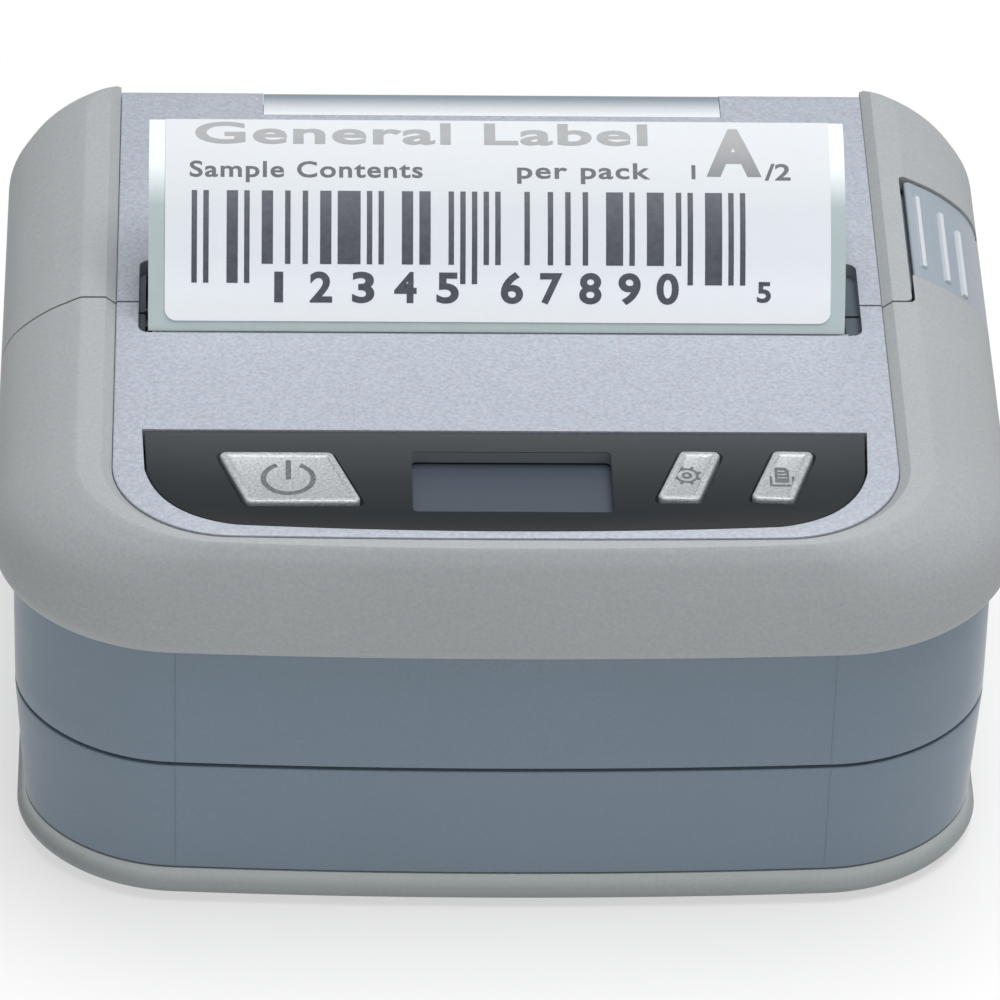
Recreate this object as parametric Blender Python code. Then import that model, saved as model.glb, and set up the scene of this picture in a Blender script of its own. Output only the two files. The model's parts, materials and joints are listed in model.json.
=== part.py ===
"""Portable three inch thermal label printer with a hinged roll lid, at rest with the lid shut.

Plan lengths are in millimetres and are scaled to metres when a mesh is made.
X is to the right of the operator, Y runs from the control panel (front) to the hinge (rear), Z is up.
"""
import math

import bmesh
import bpy
import numpy as np

for _o in list(bpy.data.objects):
    bpy.data.objects.remove(_o, do_unlink=True)

MM = 0.001
Y_SHIFT = 1.075  # lengths below are from the middle of the case; this puts the origin mid-way over the hinge knuckles too

# ---- driving dimensions ----
BODY_A, BODY_YF, BODY_YB = 53.86, -44.54, 45.0      # half width, front centre, rear of the blue body
BODY_RF, BODY_RB, BODY_CF = 17.5, 8.0, 2.1          # corner radii and front crown
TAPER = 0.86                                        # the lower body narrows by this towards the foot
Z_FOOT, Z_LOW0, Z_LOW1, Z_UP0, Z_UP1 = 3.85, 4.05, 18.95, 19.4, 35.55
DECK_Z, DECK_T = 48.5, 2.2                          # silver deck surface and its thickness
SIL_A, SIL_YF, SIL_R, SIL_CF = 42.9, -41.1, 13.0, 0.7
PART_Y = 2.6                                        # parting line between deck and lid
SLOT_A, SLOT_Y0, SLOT_Y1 = 40.4, -3.3, 10.7         # label exit
AX_Y, AX_Z = 46.9, 35.75                            # lid hinge axis
PLAT_Y, PLAT_Z, PLAT_R = 3.6, 41.5, 4.8             # platen roller
ROLL_Y, ROLL_Z, ROLL_R, CORE_R = 23.2, 24.4, 16.4, 7.2
IDLER_Z = 30.1
PIN_Y, PIN_Z = -5.0, 25.4
PANEL_Z = 48.38
BTN_Z = 48.85
TRAVEL = 0.5
LIFT_X0, LIFT_X1, LATCH_Y0, LATCH_Y1 = 46.6, 55.3, 8.1, 27.1
PAPER_T = 0.25

# ring section: height, half width, front centre, rear, front radius, rear radius
RING = (
    (35.90, 55.35, -46.15, 46.2, 19.0, 9.0),
    (36.80, 55.80, -46.45, 46.5, 19.2, 9.0),
    (38.80, 55.95, -46.45, 46.6, 19.2, 9.0),
    (41.00, 55.70, -46.20, 46.6, 19.0, 9.0),
    (42.60, 55.15, -45.95, 46.6, 18.8, 9.0),
    (44.10, 54.20, -45.65, 46.6, 18.4, 8.8),
    (45.66, 52.60, -45.25, 46.6, 17.8, 7.5),
    (47.33, 50.30, -44.75, 46.4, 17.0, 6.5),
    (48.55, 48.00, -44.10, 45.9, 16.0, 5.5),
    (49.10, 46.90, -43.70, 45.2, 15.6, 5.0),
)


# ---- materials ----
def material(name, colour, rough=0.5, metal=0.0):
    m = bpy.data.materials.new(name)
    m.use_nodes = True
    b = m.node_tree.nodes["Principled BSDF"]
    b.inputs["Base Color"].default_value = (*colour, 1.0)
    b.inputs["Roughness"].default_value = rough
    b.inputs["Metallic"].default_value = metal
    m.diffuse_color = (*colour, 1.0)
    return m


PALETTE = {
    "bumper_grey": ((0.36, 0.37, 0.365), 0.55, 0.0),
    "foot_grey": ((0.33, 0.36, 0.365), 0.5, 0.0),
    "body_blue": ((0.145, 0.19, 0.24), 0.5, 0.0),
    "deck_silver": ((0.45, 0.48, 0.54), 0.45, 0.3),
    "panel_black": ((0.035, 0.04, 0.045), 0.12, 0.0),
    "display_grey": ((0.07, 0.09, 0.115), 0.2, 0.0),
    "button_silver": ((0.5, 0.53, 0.56), 0.4, 0.5),
    "latch_grey": ((0.36, 0.42, 0.46), 0.45, 0.0),
    "window_smoke": ((0.4, 0.45, 0.5), 0.15, 0.0),
    "inner_black": ((0.03, 0.03, 0.032), 0.6, 0.0),
    "steel": ((0.55, 0.55, 0.56), 0.3, 1.0),
    "aluminium": ((0.62, 0.63, 0.65), 0.4, 1.0),
    "rubber_black": ((0.02, 0.02, 0.02), 0.8, 0.0),
    "gear_white": ((0.7, 0.7, 0.66), 0.5, 0.0),
    "pcb_green": ((0.02, 0.12, 0.05), 0.5, 0.0),
    "chip_black": ((0.02, 0.02, 0.025), 0.4, 0.0),
    "ceramic": ((0.35, 0.3, 0.24), 0.3, 0.0),
    "battery_blue": ((0.03, 0.08, 0.25), 0.4, 0.0),
    "label_white": ((0.86, 0.88, 0.9), 0.4, 0.0),
    "liner_green": ((0.45, 0.55, 0.54), 0.4, 0.0),
    "card_brown": ((0.35, 0.24, 0.15), 0.8, 0.0),
}
MATS = {k: material(k, *v) for k, v in PALETTE.items()}


# ---- mesh helpers ----
def place(name, bm, mat, origin=(0.0, 0.0, 0.0), sharp=35.0):
    ox, oy, oz = origin
    for v in bm.verts:
        v.co.x, v.co.y, v.co.z = (v.co.x - ox) * MM, (v.co.y - oy) * MM, (v.co.z - oz) * MM
    me = bpy.data.meshes.new(name)
    bm.to_mesh(me)
    bm.free()
    me.materials.append(MATS[mat])
    ob = bpy.data.objects.new(name, me)
    ob.location = (ox * MM, (oy - Y_SHIFT) * MM, oz * MM)
    bpy.context.scene.collection.objects.link(ob)
    me.shade_smooth()
    me.set_sharp_from_angle(angle=math.radians(sharp))
    return ob


def bm_loft(levels):
    """levels: (z, loop of (x, y)) from the lowest up, each loop anticlockwise seen from above."""
    bm = bmesh.new()
    rings = [[bm.verts.new((x, y, z)) for x, y in loop] for z, loop in levels]
    n = len(rings[0])
    for lo, hi in zip(rings, rings[1:]):
        for i in range(n):
            j = (i + 1) % n
            bm.faces.new((lo[i], lo[j], hi[j], hi[i]))
    bm.faces.new(rings[0][::-1])
    bm.faces.new(rings[-1])
    return bm


def bm_prism(pts, lo, hi, axis="z"):
    """A polygon pushed from lo to hi. For axis x the polygon is (y, z); for y it is (z, x); for z it is (x, y)."""
    area = sum(pts[i][0] * pts[(i + 1) % len(pts)][1] - pts[(i + 1) % len(pts)][0] * pts[i][1] for i in range(len(pts)))
    if area < 0:
        pts = pts[::-1]
    at = {"z": lambda u, v, t: (u, v, t), "x": lambda u, v, t: (t, u, v), "y": lambda u, v, t: (v, t, u)}[axis]
    bm = bmesh.new()
    low = [bm.verts.new(at(u, v, lo)) for u, v in pts]
    top = [bm.verts.new(at(u, v, hi)) for u, v in pts]
    for i in range(len(pts)):
        j = (i + 1) % len(pts)
        bm.faces.new((low[i], low[j], top[j], top[i]))
    bm.faces.new(low[::-1])
    bm.faces.new(top)
    return bm


def bm_box(x0, x1, y0, y1, z0, z1):
    return bm_prism([(x0, y0), (x1, y0), (x1, y1), (x0, y1)], z0, z1)


def circle(cu, cv, r, n, turn=0.0):
    return [(cu + r * math.cos(2 * math.pi * i / n + turn), cv + r * math.sin(2 * math.pi * i / n + turn)) for i in range(n)]


def bm_revolve(profile, axis, cu, cv, n, ring=False):
    """profile: (t, r) along the axis. ring closes the profile on itself, as for a tube."""
    at = {"z": lambda u, v, t: (u, v, t), "x": lambda u, v, t: (t, u, v), "y": lambda u, v, t: (v, t, u)}[axis]
    bm = bmesh.new()
    rows = [[bm.verts.new(at(u, v, t)) for u, v in circle(cu, cv, r, n)] for t, r in profile]
    m = len(rows)
    for k in range(m if ring else m - 1):
        lo, hi = rows[k], rows[(k + 1) % m]
        for i in range(n):
            j = (i + 1) % n
            bm.faces.new((lo[i], lo[j], hi[j], hi[i]))
    if not ring:
        bm.faces.new(rows[0][::-1])
        bm.faces.new(rows[-1])
    bmesh.ops.recalc_face_normals(bm, faces=bm.faces[:])
    return bm


def outline(a, yf, yb, rf, rb, cf=0.0, nf=5, nr=7, nb=4, ns=1):
    """Plan loop of a crowned, rounded rectangle, anticlockwise from the front centre."""
    pts = []
    for x in np.linspace(0, a - rf, nf)[:-1]:
        pts.append((x, yf))
    for t in np.linspace(-math.pi / 2, 0, nr):
        pts.append((a - rf + rf * math.cos(t), yf + rf + rf * math.sin(t)))
    for y in np.linspace(yf + rf, yb - rb, ns + 1)[1:-1]:
        pts.append((a, y))
    for t in np.linspace(0, math.pi / 2, nb):
        pts.append((a - rb + rb * math.cos(t), yb - rb + rb * math.sin(t)))
    half = [p for p in pts if p[0] > 1e-9]
    loop = pts + [(-x, y) for x, y in half[::-1]]
    out = []
    for x, y in loop:
        w = min(max((yf + rf - y) / rf, 0.0), 1.0)
        out.append((x, y + cf * (x / a) ** 2 * w))
    return out


def arc(cu, cv, r, a0, a1, n):
    return [(cu + r * math.cos(math.radians(t)), cv + r * math.sin(math.radians(t))) for t in np.linspace(a0, a1, n)]


def rounded(pts, r, n=4):
    """Polygon with each corner rounded."""
    out = []
    m = len(pts)
    for i in range(m):
        p = np.array(pts[i], float)
        a = np.array(pts[i - 1], float) - p
        b = np.array(pts[(i + 1) % m], float) - p
        la, lb = np.linalg.norm(a), np.linalg.norm(b)
        a, b = a / la, b / lb
        rr = r[i] if isinstance(r, (tuple, list)) else r
        half = math.acos(max(-1, min(1, float(a @ b)))) / 2
        d = min(rr / math.tan(half), 0.45 * la, 0.45 * lb)
        rr = d * math.tan(half)
        if rr < 0.02:
            out.append(tuple(p))
            continue
        c = p + (a + b) / np.linalg.norm(a + b) * rr / math.sin(half)
        v0, v1 = p + a * d - c, p + b * d - c
        t0, t1 = math.atan2(v0[1], v0[0]), math.atan2(v1[1], v1[0])
        dt = (t1 - t0 + math.pi) % (2 * math.pi) - math.pi
        for k in range(n + 1):
            t = t0 + dt * k / n
            out.append((c[0] + rr * math.cos(t), c[1] + rr * math.sin(t)))
    return out


def temp(bm):
    """A cutter or an addition: it is used by one Boolean and then removed."""
    ob = place("tmp", bm, "steel")
    ob.hide_render = True
    ob.display_type = "WIRE"
    return ob


def boolean(ob, other, op):
    tool = temp(other)
    mod = ob.modifiers.new("b", "BOOLEAN")
    mod.operation, mod.object, mod.solver = op, tool, "EXACT"
    bpy.context.view_layer.update()
    me = bpy.data.meshes.new_from_object(ob.evaluated_get(bpy.context.evaluated_depsgraph_get()))
    ob.modifiers.remove(mod)
    old = ob.data
    ob.data = me
    me.name = ob.name
    bpy.data.meshes.remove(old)
    bpy.data.objects.remove(tool, do_unlink=True)
    return ob


def cut(ob, *cutters):
    for c in cutters:
        boolean(ob, c, "DIFFERENCE")
    return ob


def join(ob, *adds):
    for c in adds:
        boolean(ob, c, "UNION")
    return ob


def keep(ob, bm):
    return boolean(ob, bm, "INTERSECT")


def shell_levels(off=0.0):
    return [(z, outline(a - off, yf + off, yb - off, max(rf - off, 1), max(rb - off, 1), BODY_CF)) for z, a, yf, yb, rf, rb in RING]


def body_loop(off):
    return outline(BODY_A - off, BODY_YF + off, BODY_YB - off, BODY_RF - off, BODY_RB - off, BODY_CF)


def silver_loop(grow=0.0):
    return outline(SIL_A + grow, SIL_YF - grow, 60.0, SIL_R + grow, 2.0, SIL_CF)


def gear(name, x0, x1, cy, cz, r, teeth, bore, mat, turn=0.0, depth=1.0):
    pts = []
    for i in range(teeth):
        t = 2 * math.pi * i / teeth + turn
        p = 2 * math.pi / teeth
        for f, rr in ((0.0, r - depth), (0.26, r - depth), (0.40, r), (0.60, r), (0.74, r - depth)):
            pts.append((cy + rr * math.cos(t + f * p), cz + rr * math.sin(t + f * p)))
    ob = place(name, bm_prism(pts, x0, x1, "x"), mat, (0, cy, cz))
    return cut(ob, bm_prism(circle(cy, cz, bore, 12), x0 - 1, x1 + 1, "x"))


# ---- base: foot, lower and upper body ----
FOOT = ((0.5, -0.15), (0.9, 0.45), (1.5, 0.8), (1.95, 0.78), (2.4, 0.42), (3.0, 0.12), (Z_FOOT, 0.0))


def foot_loop(grow):
    g = TAPER - grow
    return body_loop(g)


foot = place("foot_rim", bm_loft([(z, foot_loop(g)) for z, g in FOOT]), "foot_grey")
cut(foot, bm_loft([(2.6, body_loop(3.0)), (6.0, body_loop(3.0))]))
DOOR = (-37.0, 37.0, -38.0, -16.0)
cut(foot, bm_box(DOOR[0] - 0.3, DOOR[1] + 0.3, DOOR[2] - 0.3, DOOR[3] + 0.3, -1.0, 4.0))
SCREWS = ((-44.0, -22.0), (44.0, -22.0), (-44.0, 34.0), (44.0, 34.0))
for sx, sy in SCREWS:
    cut(foot, bm_prism(circle(sx, sy, 1.5, 12), -1.0, 4.0), bm_prism(circle(sx, sy, 2.8, 12), -1.0, 1.5))
FEET = ((-37.0, -10.0), (37.0, -10.0), (-37.0, 36.0), (37.0, 36.0))
for fx, fy in FEET:
    cut(foot, bm_prism(circle(fx, fy, 4.3, 16), -1.0, 1.2))

lower = place("lower_body", bm_loft([(Z_LOW0, body_loop(TAPER)), (Z_LOW1, body_loop(0.0))]), "body_blue")
cut(lower, bm_loft([(Z_LOW0 - 1, body_loop(TAPER + 1.9)), (Z_LOW1 + 1, body_loop(1.95))]))

upper = place("upper_body", bm_loft([(16.0, body_loop(2.25)), (Z_UP0, body_loop(2.25)), (Z_UP0 + 0.001, body_loop(0.0)), (Z_UP1, body_loop(0.0))]), "body_blue")
cut(upper, bm_loft([(10.0, body_loop(3.6)), (40.0, body_loop(3.6))]))
KN = (28.0, 36.0)
KL = (19.6, 27.6)
for s in (-1, 1):
    k0, k1 = sorted((s * KN[0], s * KN[1]))
    join(upper, bm_box(k0, k1, 43.6, 47.2, 32.9, 34.9), bm_prism(circle(AX_Y, AX_Z, 1.7, 16), k0, k1, "x"))
    cut(upper, bm_prism(circle(AX_Y, AX_Z, 1.0, 12), k0 - 1, k1 + 1, "x"))
# charging socket opening in the right wall, low down, clear of the tongue
cut(upper, bm_box(48.0, 56.0, 12.0, 22.0, 23.6, 27.4))

# ---- ring: front bumper and lid bumpers ----


def ring_shell(name, mat, origin=(0, 0, 0)):
    ob = place(name, bm_loft(shell_levels()), mat, origin)
    # well for the silver deck and lid, with the inner chamfer
    well = bm_loft([(30.0, silver_loop(0.3)), (48.35, silver_loop(0.3)), (49.1, silver_loop(1.0)), (52.0, silver_loop(1.0))])
    cut(ob, well)
    # hollow behind the slope
    hollow = [(34.0, 52.3, -42.9, 43.4, 16.0, 6.0), (43.4, 52.0, -42.9, 43.4, 16.0, 6.0), (47.2, 47.0, -41.9, 43.0, 14.5, 5.0)]
    cut(ob, bm_loft([(z, outline(a, yf, yb, rf, rb, BODY_CF)) for z, a, yf, yb, rf, rb in hollow]))
    return ob


top = ring_shell("top_bumper", "bumper_grey")
cut(top, bm_box(-60, LIFT_X0 + 0.05, PART_Y - 0.15, 60, 20, 60))
cut(top, bm_prism([(LATCH_Y0 - 0.2, 40.35), (LATCH_Y1, 40.35), (LATCH_Y1, 20.0), (60.0, 20.0), (60.0, 60.0), (LATCH_Y0 - 0.2, 60.0)], LIFT_X0 - 0.1, 60.0, "x"))

HINGE = (0.0, AX_Y, AX_Z)
lbl = ring_shell("lid_bumper_left", "bumper_grey", HINGE)
cut(lbl, bm_box(-60, 0, -60, PART_Y + 0.15, 20, 60), bm_box(-30, 60, -60, 60, 20, 60))
lbr = ring_shell("lid_bumper_right", "bumper_grey", HINGE)
cut(lbr, bm_box(0, 60, -60, PART_Y + 0.15, 20, 60), bm_box(-60, 30, -60, 60, 20, 60))
cut(lbr, bm_box(LIFT_X0 - 0.3, 60, -60, LATCH_Y1 + 0.3, 20, 60))
# the lip that the inboard edge of the latch slides under
cut(lbr, bm_box(45.5, 60, -60, LATCH_Y1 + 0.3, 20, 48.75))

# ---- silver deck ----
deck = place("deck_panel", bm_loft([(DECK_Z - DECK_T, silver_loop()), (DECK_Z, silver_loop())]), "deck_silver")
cut(deck, bm_box(-60, 60, PART_Y - 0.15, 70, 30, 60))
cut(deck, bm_prism(rounded([(-SLOT_A, SLOT_Y0), (SLOT_A, SLOT_Y0), (SLOT_A, 9.0), (-SLOT_A, 9.0)], 1.2, 3), 40, 60))

CP_HALF, CP_Y0, CP_TAN, CP_TX, CP_SIDE = 39.5, -21.8, -38.65, 29.4, -28.7


def panel_loop(grow=0.0, n=9, nb=6):
    """Control panel outline: straight top, short sides, a long sweep into a crowned lower edge."""
    a, y0 = CP_HALF + grow, CP_Y0 + grow
    left = []
    p0, p1 = np.array([-(CP_HALF - 0.35) - grow, CP_SIDE - 0.2]), np.array([-CP_TX, CP_TAN - grow])
    c = np.array([-(CP_HALF - 1.9) - grow, CP_TAN + 1.6 - grow])
    for t in np.linspace(0, 1, n):
        q = (1 - t) ** 2 * p0 + 2 * t * (1 - t) * c + t * t * p1
        left.append((float(q[0]), float(q[1])))
    bottom = [(x, CP_TAN - grow - 1.0 * (1 - (x / CP_TX) ** 2)) for x in np.linspace(-CP_TX, CP_TX, nb + 2)[1:-1]]
    right = [(-x, y) for x, y in left[::-1]]
    return [(-a, y0)] + left + [(float(x), float(y)) for x, y in bottom] + right + [(a, y0)]


cut(deck, bm_prism(panel_loop(0.25), 40, 60))

# ---- control panel, display and keys ----
PWR = ((-31.5, -26.0), (-19.0, -26.0), (-15.7, -35.1), (-28.3, -35.2))
SET = ((19.1, -25.5), (23.6, -25.6), (20.8, -34.4), (16.1, -34.3))
PRN = ((29.3, -25.4), (33.8, -25.5), (31.0, -34.4), (26.3, -34.2))
DISP = (-10.3, 11.5, -36.2, -25.3)


def grow_poly(pts, g):
    c = np.mean(np.array(pts), axis=0)
    out = []
    m = len(pts)
    for i in range(m):
        p = np.array(pts[i])
        e0 = p - np.array(pts[i - 1])
        e1 = np.array(pts[(i + 1) % m]) - p
        n0 = np.array([e0[1], -e0[0]]) / np.linalg.norm(e0)
        n1 = np.array([e1[1], -e1[0]]) / np.linalg.norm(e1)
        if n0 @ (p - c) < 0:
            n0, n1 = -n0, -n1
        b = n0 + n1
        out.append(tuple(p + b * g / (1 + n0 @ n1)))
    return out


cp = place("control_panel", bm_prism(panel_loop(), 46.9, PANEL_Z), "panel_black")
for q in (PWR, SET, PRN):
    cut(cp, bm_prism(rounded(grow_poly(q, 0.3), 0.8, 2), 40, 60))
cut(cp, bm_prism(rounded([(DISP[0], DISP[2]), (DISP[1], DISP[2]), (DISP[1], DISP[3]), (DISP[0], DISP[3])], 0.6, 2), 40.0, 60))
place("display_window", bm_box(DISP[0] - 0.8, DISP[1] + 0.8, DISP[2] - 0.8, DISP[3] + 0.8, 46.2, 46.65), "display_grey")
place("lcd_module", bm_box(-12.5, 13.7, -37.2, -24.4, 43.8, 45.9), "chip_black")

for name, q in (("power_button", PWR), ("settings_button", SET), ("print_button", PRN)):
    c = np.mean(np.array(q), axis=0)
    lo = rounded(q, 0.7, 2)[::-1]
    hi = rounded(grow_poly(q, -0.3), 0.45, 2)[::-1]
    fl = rounded(grow_poly(q, 0.9), 0.8, 2)[::-1]
    ob = place(name, bm_loft([(45.6, fl), (46.3, fl), (46.3001, lo), (BTN_Z - 0.3, lo), (BTN_Z, hi)]), "button_silver", (float(c[0]), float(c[1]), 46.3))
    # shallow dish in the cap
    dish = rounded(grow_poly(q, -0.75), 0.3, 2)[::-1]
    cut(ob, bm_prism(dish, BTN_Z - 0.12, 60))

kb = place("key_board", bm_box(-38.0, 38.0, -37.0, -23.2, 42.0, 43.2), "pcb_green")
cut(kb, bm_box(-12.0, 13.2, -35.0, -20.0, 41.0, 44.0))
for name, q in (("power_switch", PWR), ("settings_switch", SET), ("print_switch", PRN)):
    cx, cy = np.mean(np.array(q), axis=0)
    sw = place(name, bm_box(cx - 1.9, cx + 1.9, cy - 1.9, cy + 1.9, 43.4, 44.4), "chip_black")
    join(sw, bm_prism(circle(cx, cy, 1.0, 10), 44.2, 44.95))

# ---- label exit: tear bar, print head group ----
teeth, tooth = [], 0.78
n_teeth = int(2 * 39.8 / tooth)
x_start = -n_teeth * tooth / 2
for i in range(n_teeth):
    teeth += [(x_start + i * tooth, -3.05), (x_start + (i + 0.5) * tooth, -2.6)]
teeth.append((-x_start, -3.05))
place("tear_bar", bm_prism(teeth + [(-x_start, -3.75), (x_start, -3.75)], 45.6, 48.15), "steel")
cut(deck, bm_box(-SLOT_A, SLOT_A, -4.05, 0.0, 45.0, 48.3))
# beside the slot the deck is thin, so that the lid's cheeks swing past it
cut(deck, bm_box(-50.0, -40.0, -1.2, 5.0, 40.0, 47.85), bm_box(40.0, 50.0, -1.2, 5.0, 40.0, 47.85))
bracket = place("head_bracket", bm_prism([(-11.4, 26.5), (-7.6, 26.5), (-7.6, 27.9), (-10.0, 27.9), (-10.0, 44.2), (-4.4, 44.2), (-4.4, 45.3), (-11.4, 45.3)], -40.0, 40.0, "x"), "steel")
cut(bracket, bm_box(-41.0, -21.5, -12.0, -7.0, 26.0, 34.0))
place("print_head", bm_prism([(-2.95, 33.5), (-2.15, 33.5), (-2.15, 44.4), (-2.95, 44.4)], -39.6, 39.6, "x"), "ceramic", (0, -4.2, 31.0))
sink = place("heat_sink", bm_prism([(-6.0, 34.4), (-3.25, 34.4), (-3.25, 43.6), (-6.0, 43.6)], -39.6, 39.6, "x"), "aluminium", (0, -4.2, 31.0))
for z in (36.3, 39.0, 41.7):
    cut(sink, bm_box(-41, 41, -6.5, -4.8, z - 0.7, z + 0.7))
for i, x in enumerate((-24.0, 24.0)):
    spring = [(-9.7, 34.0), (-9.7, 39.4), (-9.2, 40.2), (-6.5, 38.0), (-6.5, 37.3), (-9.1, 39.2), (-9.3, 38.8), (-9.3, 34.0)]
    place(("head_spring_left", "head_spring_right")[i], bm_prism(spring, x - 3, x + 3, "x"), "steel")

# ---- platen on the lid ----
PL = (0.0, PLAT_Y, PLAT_Z)
place("platen_roller", bm_revolve([(-38.9, 1.8), (-38.9, 4.5), (-38.6, PLAT_R), (38.6, PLAT_R), (38.9, 4.5), (38.9, 1.8)], "x", PLAT_Y, PLAT_Z, 28, ring=True), "rubber_black", PL)
place("platen_shaft", bm_revolve([(-43.4, 1.3), (-43.2, 1.5), (43.2, 1.5), (43.4, 1.3)], "x", PLAT_Y, PLAT_Z, 16), "steel", PL)
gear("platen_gear", -40.3, -39.3, PLAT_Y, PLAT_Z, 5.2, 14, 1.8, "inner_black", 0.0)
gear("idler_gear", -40.3, -39.3, PLAT_Y, IDLER_Z, 5.9, 15, 1.4, "gear_white", math.radians(90))
gear("motor_pinion", -40.3, -39.3, PIN_Y, PIN_Z, 3.5, 8, 1.3, "steel", 0.2, 0.8)

plate = place("gear_plate", bm_prism([(-14.0, 3.4), (9.0, 3.4), (9.0, 34.0), (6.6, 38.4), (0.6, 38.4), (-14.0, 34.0)], -42.0, -40.8, "x"), "steel")
cut(plate, bm_prism(circle(PIN_Y, PIN_Z, 1.6, 16), -50, -38, "x"))
join(plate, bm_prism(circle(PLAT_Y, IDLER_Z, 1.1, 12), -41.4, -39.4, "x"))
motor = place("feed_motor", bm_revolve([(-38.6, 7.7), (-38.3, 8.0), (-23.3, 8.0), (-23.0, 7.7)], "x", PIN_Y, PIN_Z, 24), "steel")
join(motor, bm_prism(circle(PIN_Y, PIN_Z, 1.0, 12), -41.6, -38.0, "x"))

# ---- roll bay ----
cradle = [(5.0, 3.2), (41.1, 3.2), (41.1, 26.0), (40.5, 26.0)]
cradle += [(ROLL_Y + 17.2 * math.cos(math.radians(t)), ROLL_Z + 17.2 * math.sin(math.radians(t))) for t in np.linspace(-6, -158, 12)]
cradle += [(5.0, 17.5)]
bay = place("roll_bay", bm_prism(cradle, -39.0, 39.0, "x"), "inner_black")
cut(bay, bm_box(-45, 45, 17.5, 30.5, 3.9, 8.0))
join(bay, bm_box(-45.6, 45.6, 12.0, 40.0, 2.9, 3.7))
for s in (-1, 1):
    x0, x1 = sorted((s * 45.6, s * 47.0))
    join(bay, bm_prism([(11.0, 2.9), (41.0, 2.9), (41.0, 31.0), (11.0, 31.0)], x0, x1, "x"))
cut(bay, bm_box(45.0, 48.0, 12.1, 21.9, 23.3, 27.7))

RC = (0.0, ROLL_Y, ROLL_Z)
place("label_roll", bm_revolve([(-38.8, CORE_R), (-38.8, ROLL_R - 0.2), (-38.6, ROLL_R), (38.6, ROLL_R), (38.8, ROLL_R - 0.2), (38.8, CORE_R)], "x", ROLL_Y, ROLL_Z, 40, ring=True), "label_white", RC)
place("roll_core", bm_revolve([(-38.8, CORE_R - 1.3), (-38.8, CORE_R - 0.2), (38.8, CORE_R - 0.2), (38.8, CORE_R - 1.3)], "x", ROLL_Y, ROLL_Z, 24, ring=True), "card_brown", RC)
for s, name in ((-1, "guide_left"), (1, "guide_right")):
    x0, x1 = sorted((s * 39.2, s * 40.6))
    g = place(name, bm_prism([(ROLL_Y - 11.0, ROLL_Z - 3.0), (ROLL_Y - 11.0, ROLL_Z + 3.0), *arc(ROLL_Y, ROLL_Z, 11.4, 165, 15, 9), (ROLL_Y + 11.0, ROLL_Z - 3.0), (ROLL_Y + 6.5, 4.6), (ROLL_Y - 6.5, 4.6)], x0, x1, "x"), "inner_black", (s * 39.9, ROLL_Y, 5.4))
    h0, h1 = sorted((s * 36.6, s * 39.6))
    join(g, bm_prism(circle(ROLL_Y, ROLL_Z, CORE_R - 1.7, 20), h0, h1, "x"))
    # arm with the rack, reaching past the centre under the roll
    ya, yb_ = (ROLL_Y - 5.4, ROLL_Y - 2.75) if s < 0 else (ROLL_Y + 2.75, ROLL_Y + 5.4)
    ends = sorted((s * 40.0, -s * 8.0))
    join(g, bm_box(ends[0], ends[1], ya, yb_, 4.6, 5.8))
place("gap_sensor", bm_prism([(-1.8, 33.6), (0.2, 33.6), (0.2, 35.4), (-1.8, 35.4)], 4.0, 14.0, "x"), "chip_black")

# ---- paper: backing strip and the printed label on it ----
STRIP_A, LABEL_A, EXIT_Y, EXIT_Z = 38.85, 37.4, -2.3, 48.5
FOLD = (0.0, -2.4, 48.3)  # the strip folds forward over the tear bar as the lid is raised


def strip_line(s_max=24.6, n=15):
    """Side view of the paper leaving the slot and curling back: points (y, z) and their directions."""
    pts, y, z = [], EXIT_Y, EXIT_Z
    ds = s_max / (n - 1) / 8
    for i in range((n - 1) * 8 + 1):
        s = i * ds
        ang = math.radians(69.0 - 57.0 * (s / s_max) ** 1.15)
        if i % 8 == 0:
            pts.append((y, z, ang))
        y += ds * math.cos(ang)
        z += ds * math.sin(ang)
    return pts


def ribbon(name, line, half, off, t, mat, origin=(0.0, 0.0, 0.0)):
    """Closed ribbon; off is how far its rear face is to the front of the line."""
    a = [(y - off * math.sin(g), z + off * math.cos(g)) for y, z, g in line]
    b = [(y - (off + t) * math.sin(g), z + (off + t) * math.cos(g)) for y, z, g in line]
    return place(name, bm_prism(a + b[::-1], -half, half, "x"), mat, origin)


inner = [(6.2, 22.4, math.radians(100)), (3.1, 31.4, math.radians(112)), (-0.3, 38.3, math.radians(110)), (-1.62, 41.0, math.radians(96)), (-1.72, 43.0, math.radians(92)), (-2.05, 46.0, math.radians(92)), (-2.2, 47.9, math.radians(88))]
ribbon("paper_web", inner, STRIP_A, 0.0, PAPER_T, "liner_green")
ribbon("backing_strip", [(EXIT_Y - 0.1, EXIT_Z - 0.26, math.radians(69.0))] + strip_line()[1:], STRIP_A, 0.0, PAPER_T, "liner_green", FOLD)
ribbon("printed_label", strip_line()[1:], LABEL_A, PAPER_T + 0.1, 0.2, "label_white", FOLD)

# ---- lid ----
LID_R = 2.6


def lid_line(off=0.0, y0=PART_Y + 0.15, z_end=36.2, n=6):
    """Side view of the lid skin, from the parting line over the rear roll and down: (y, z)."""
    cy, cz, yr = 46.4 - LID_R, DECK_Z - LID_R, 46.4 - off
    return [(y0, DECK_Z - off)] + arc(cy, cz, LID_R - off, 90, 0, n) + [(yr, z_end)]


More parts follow.
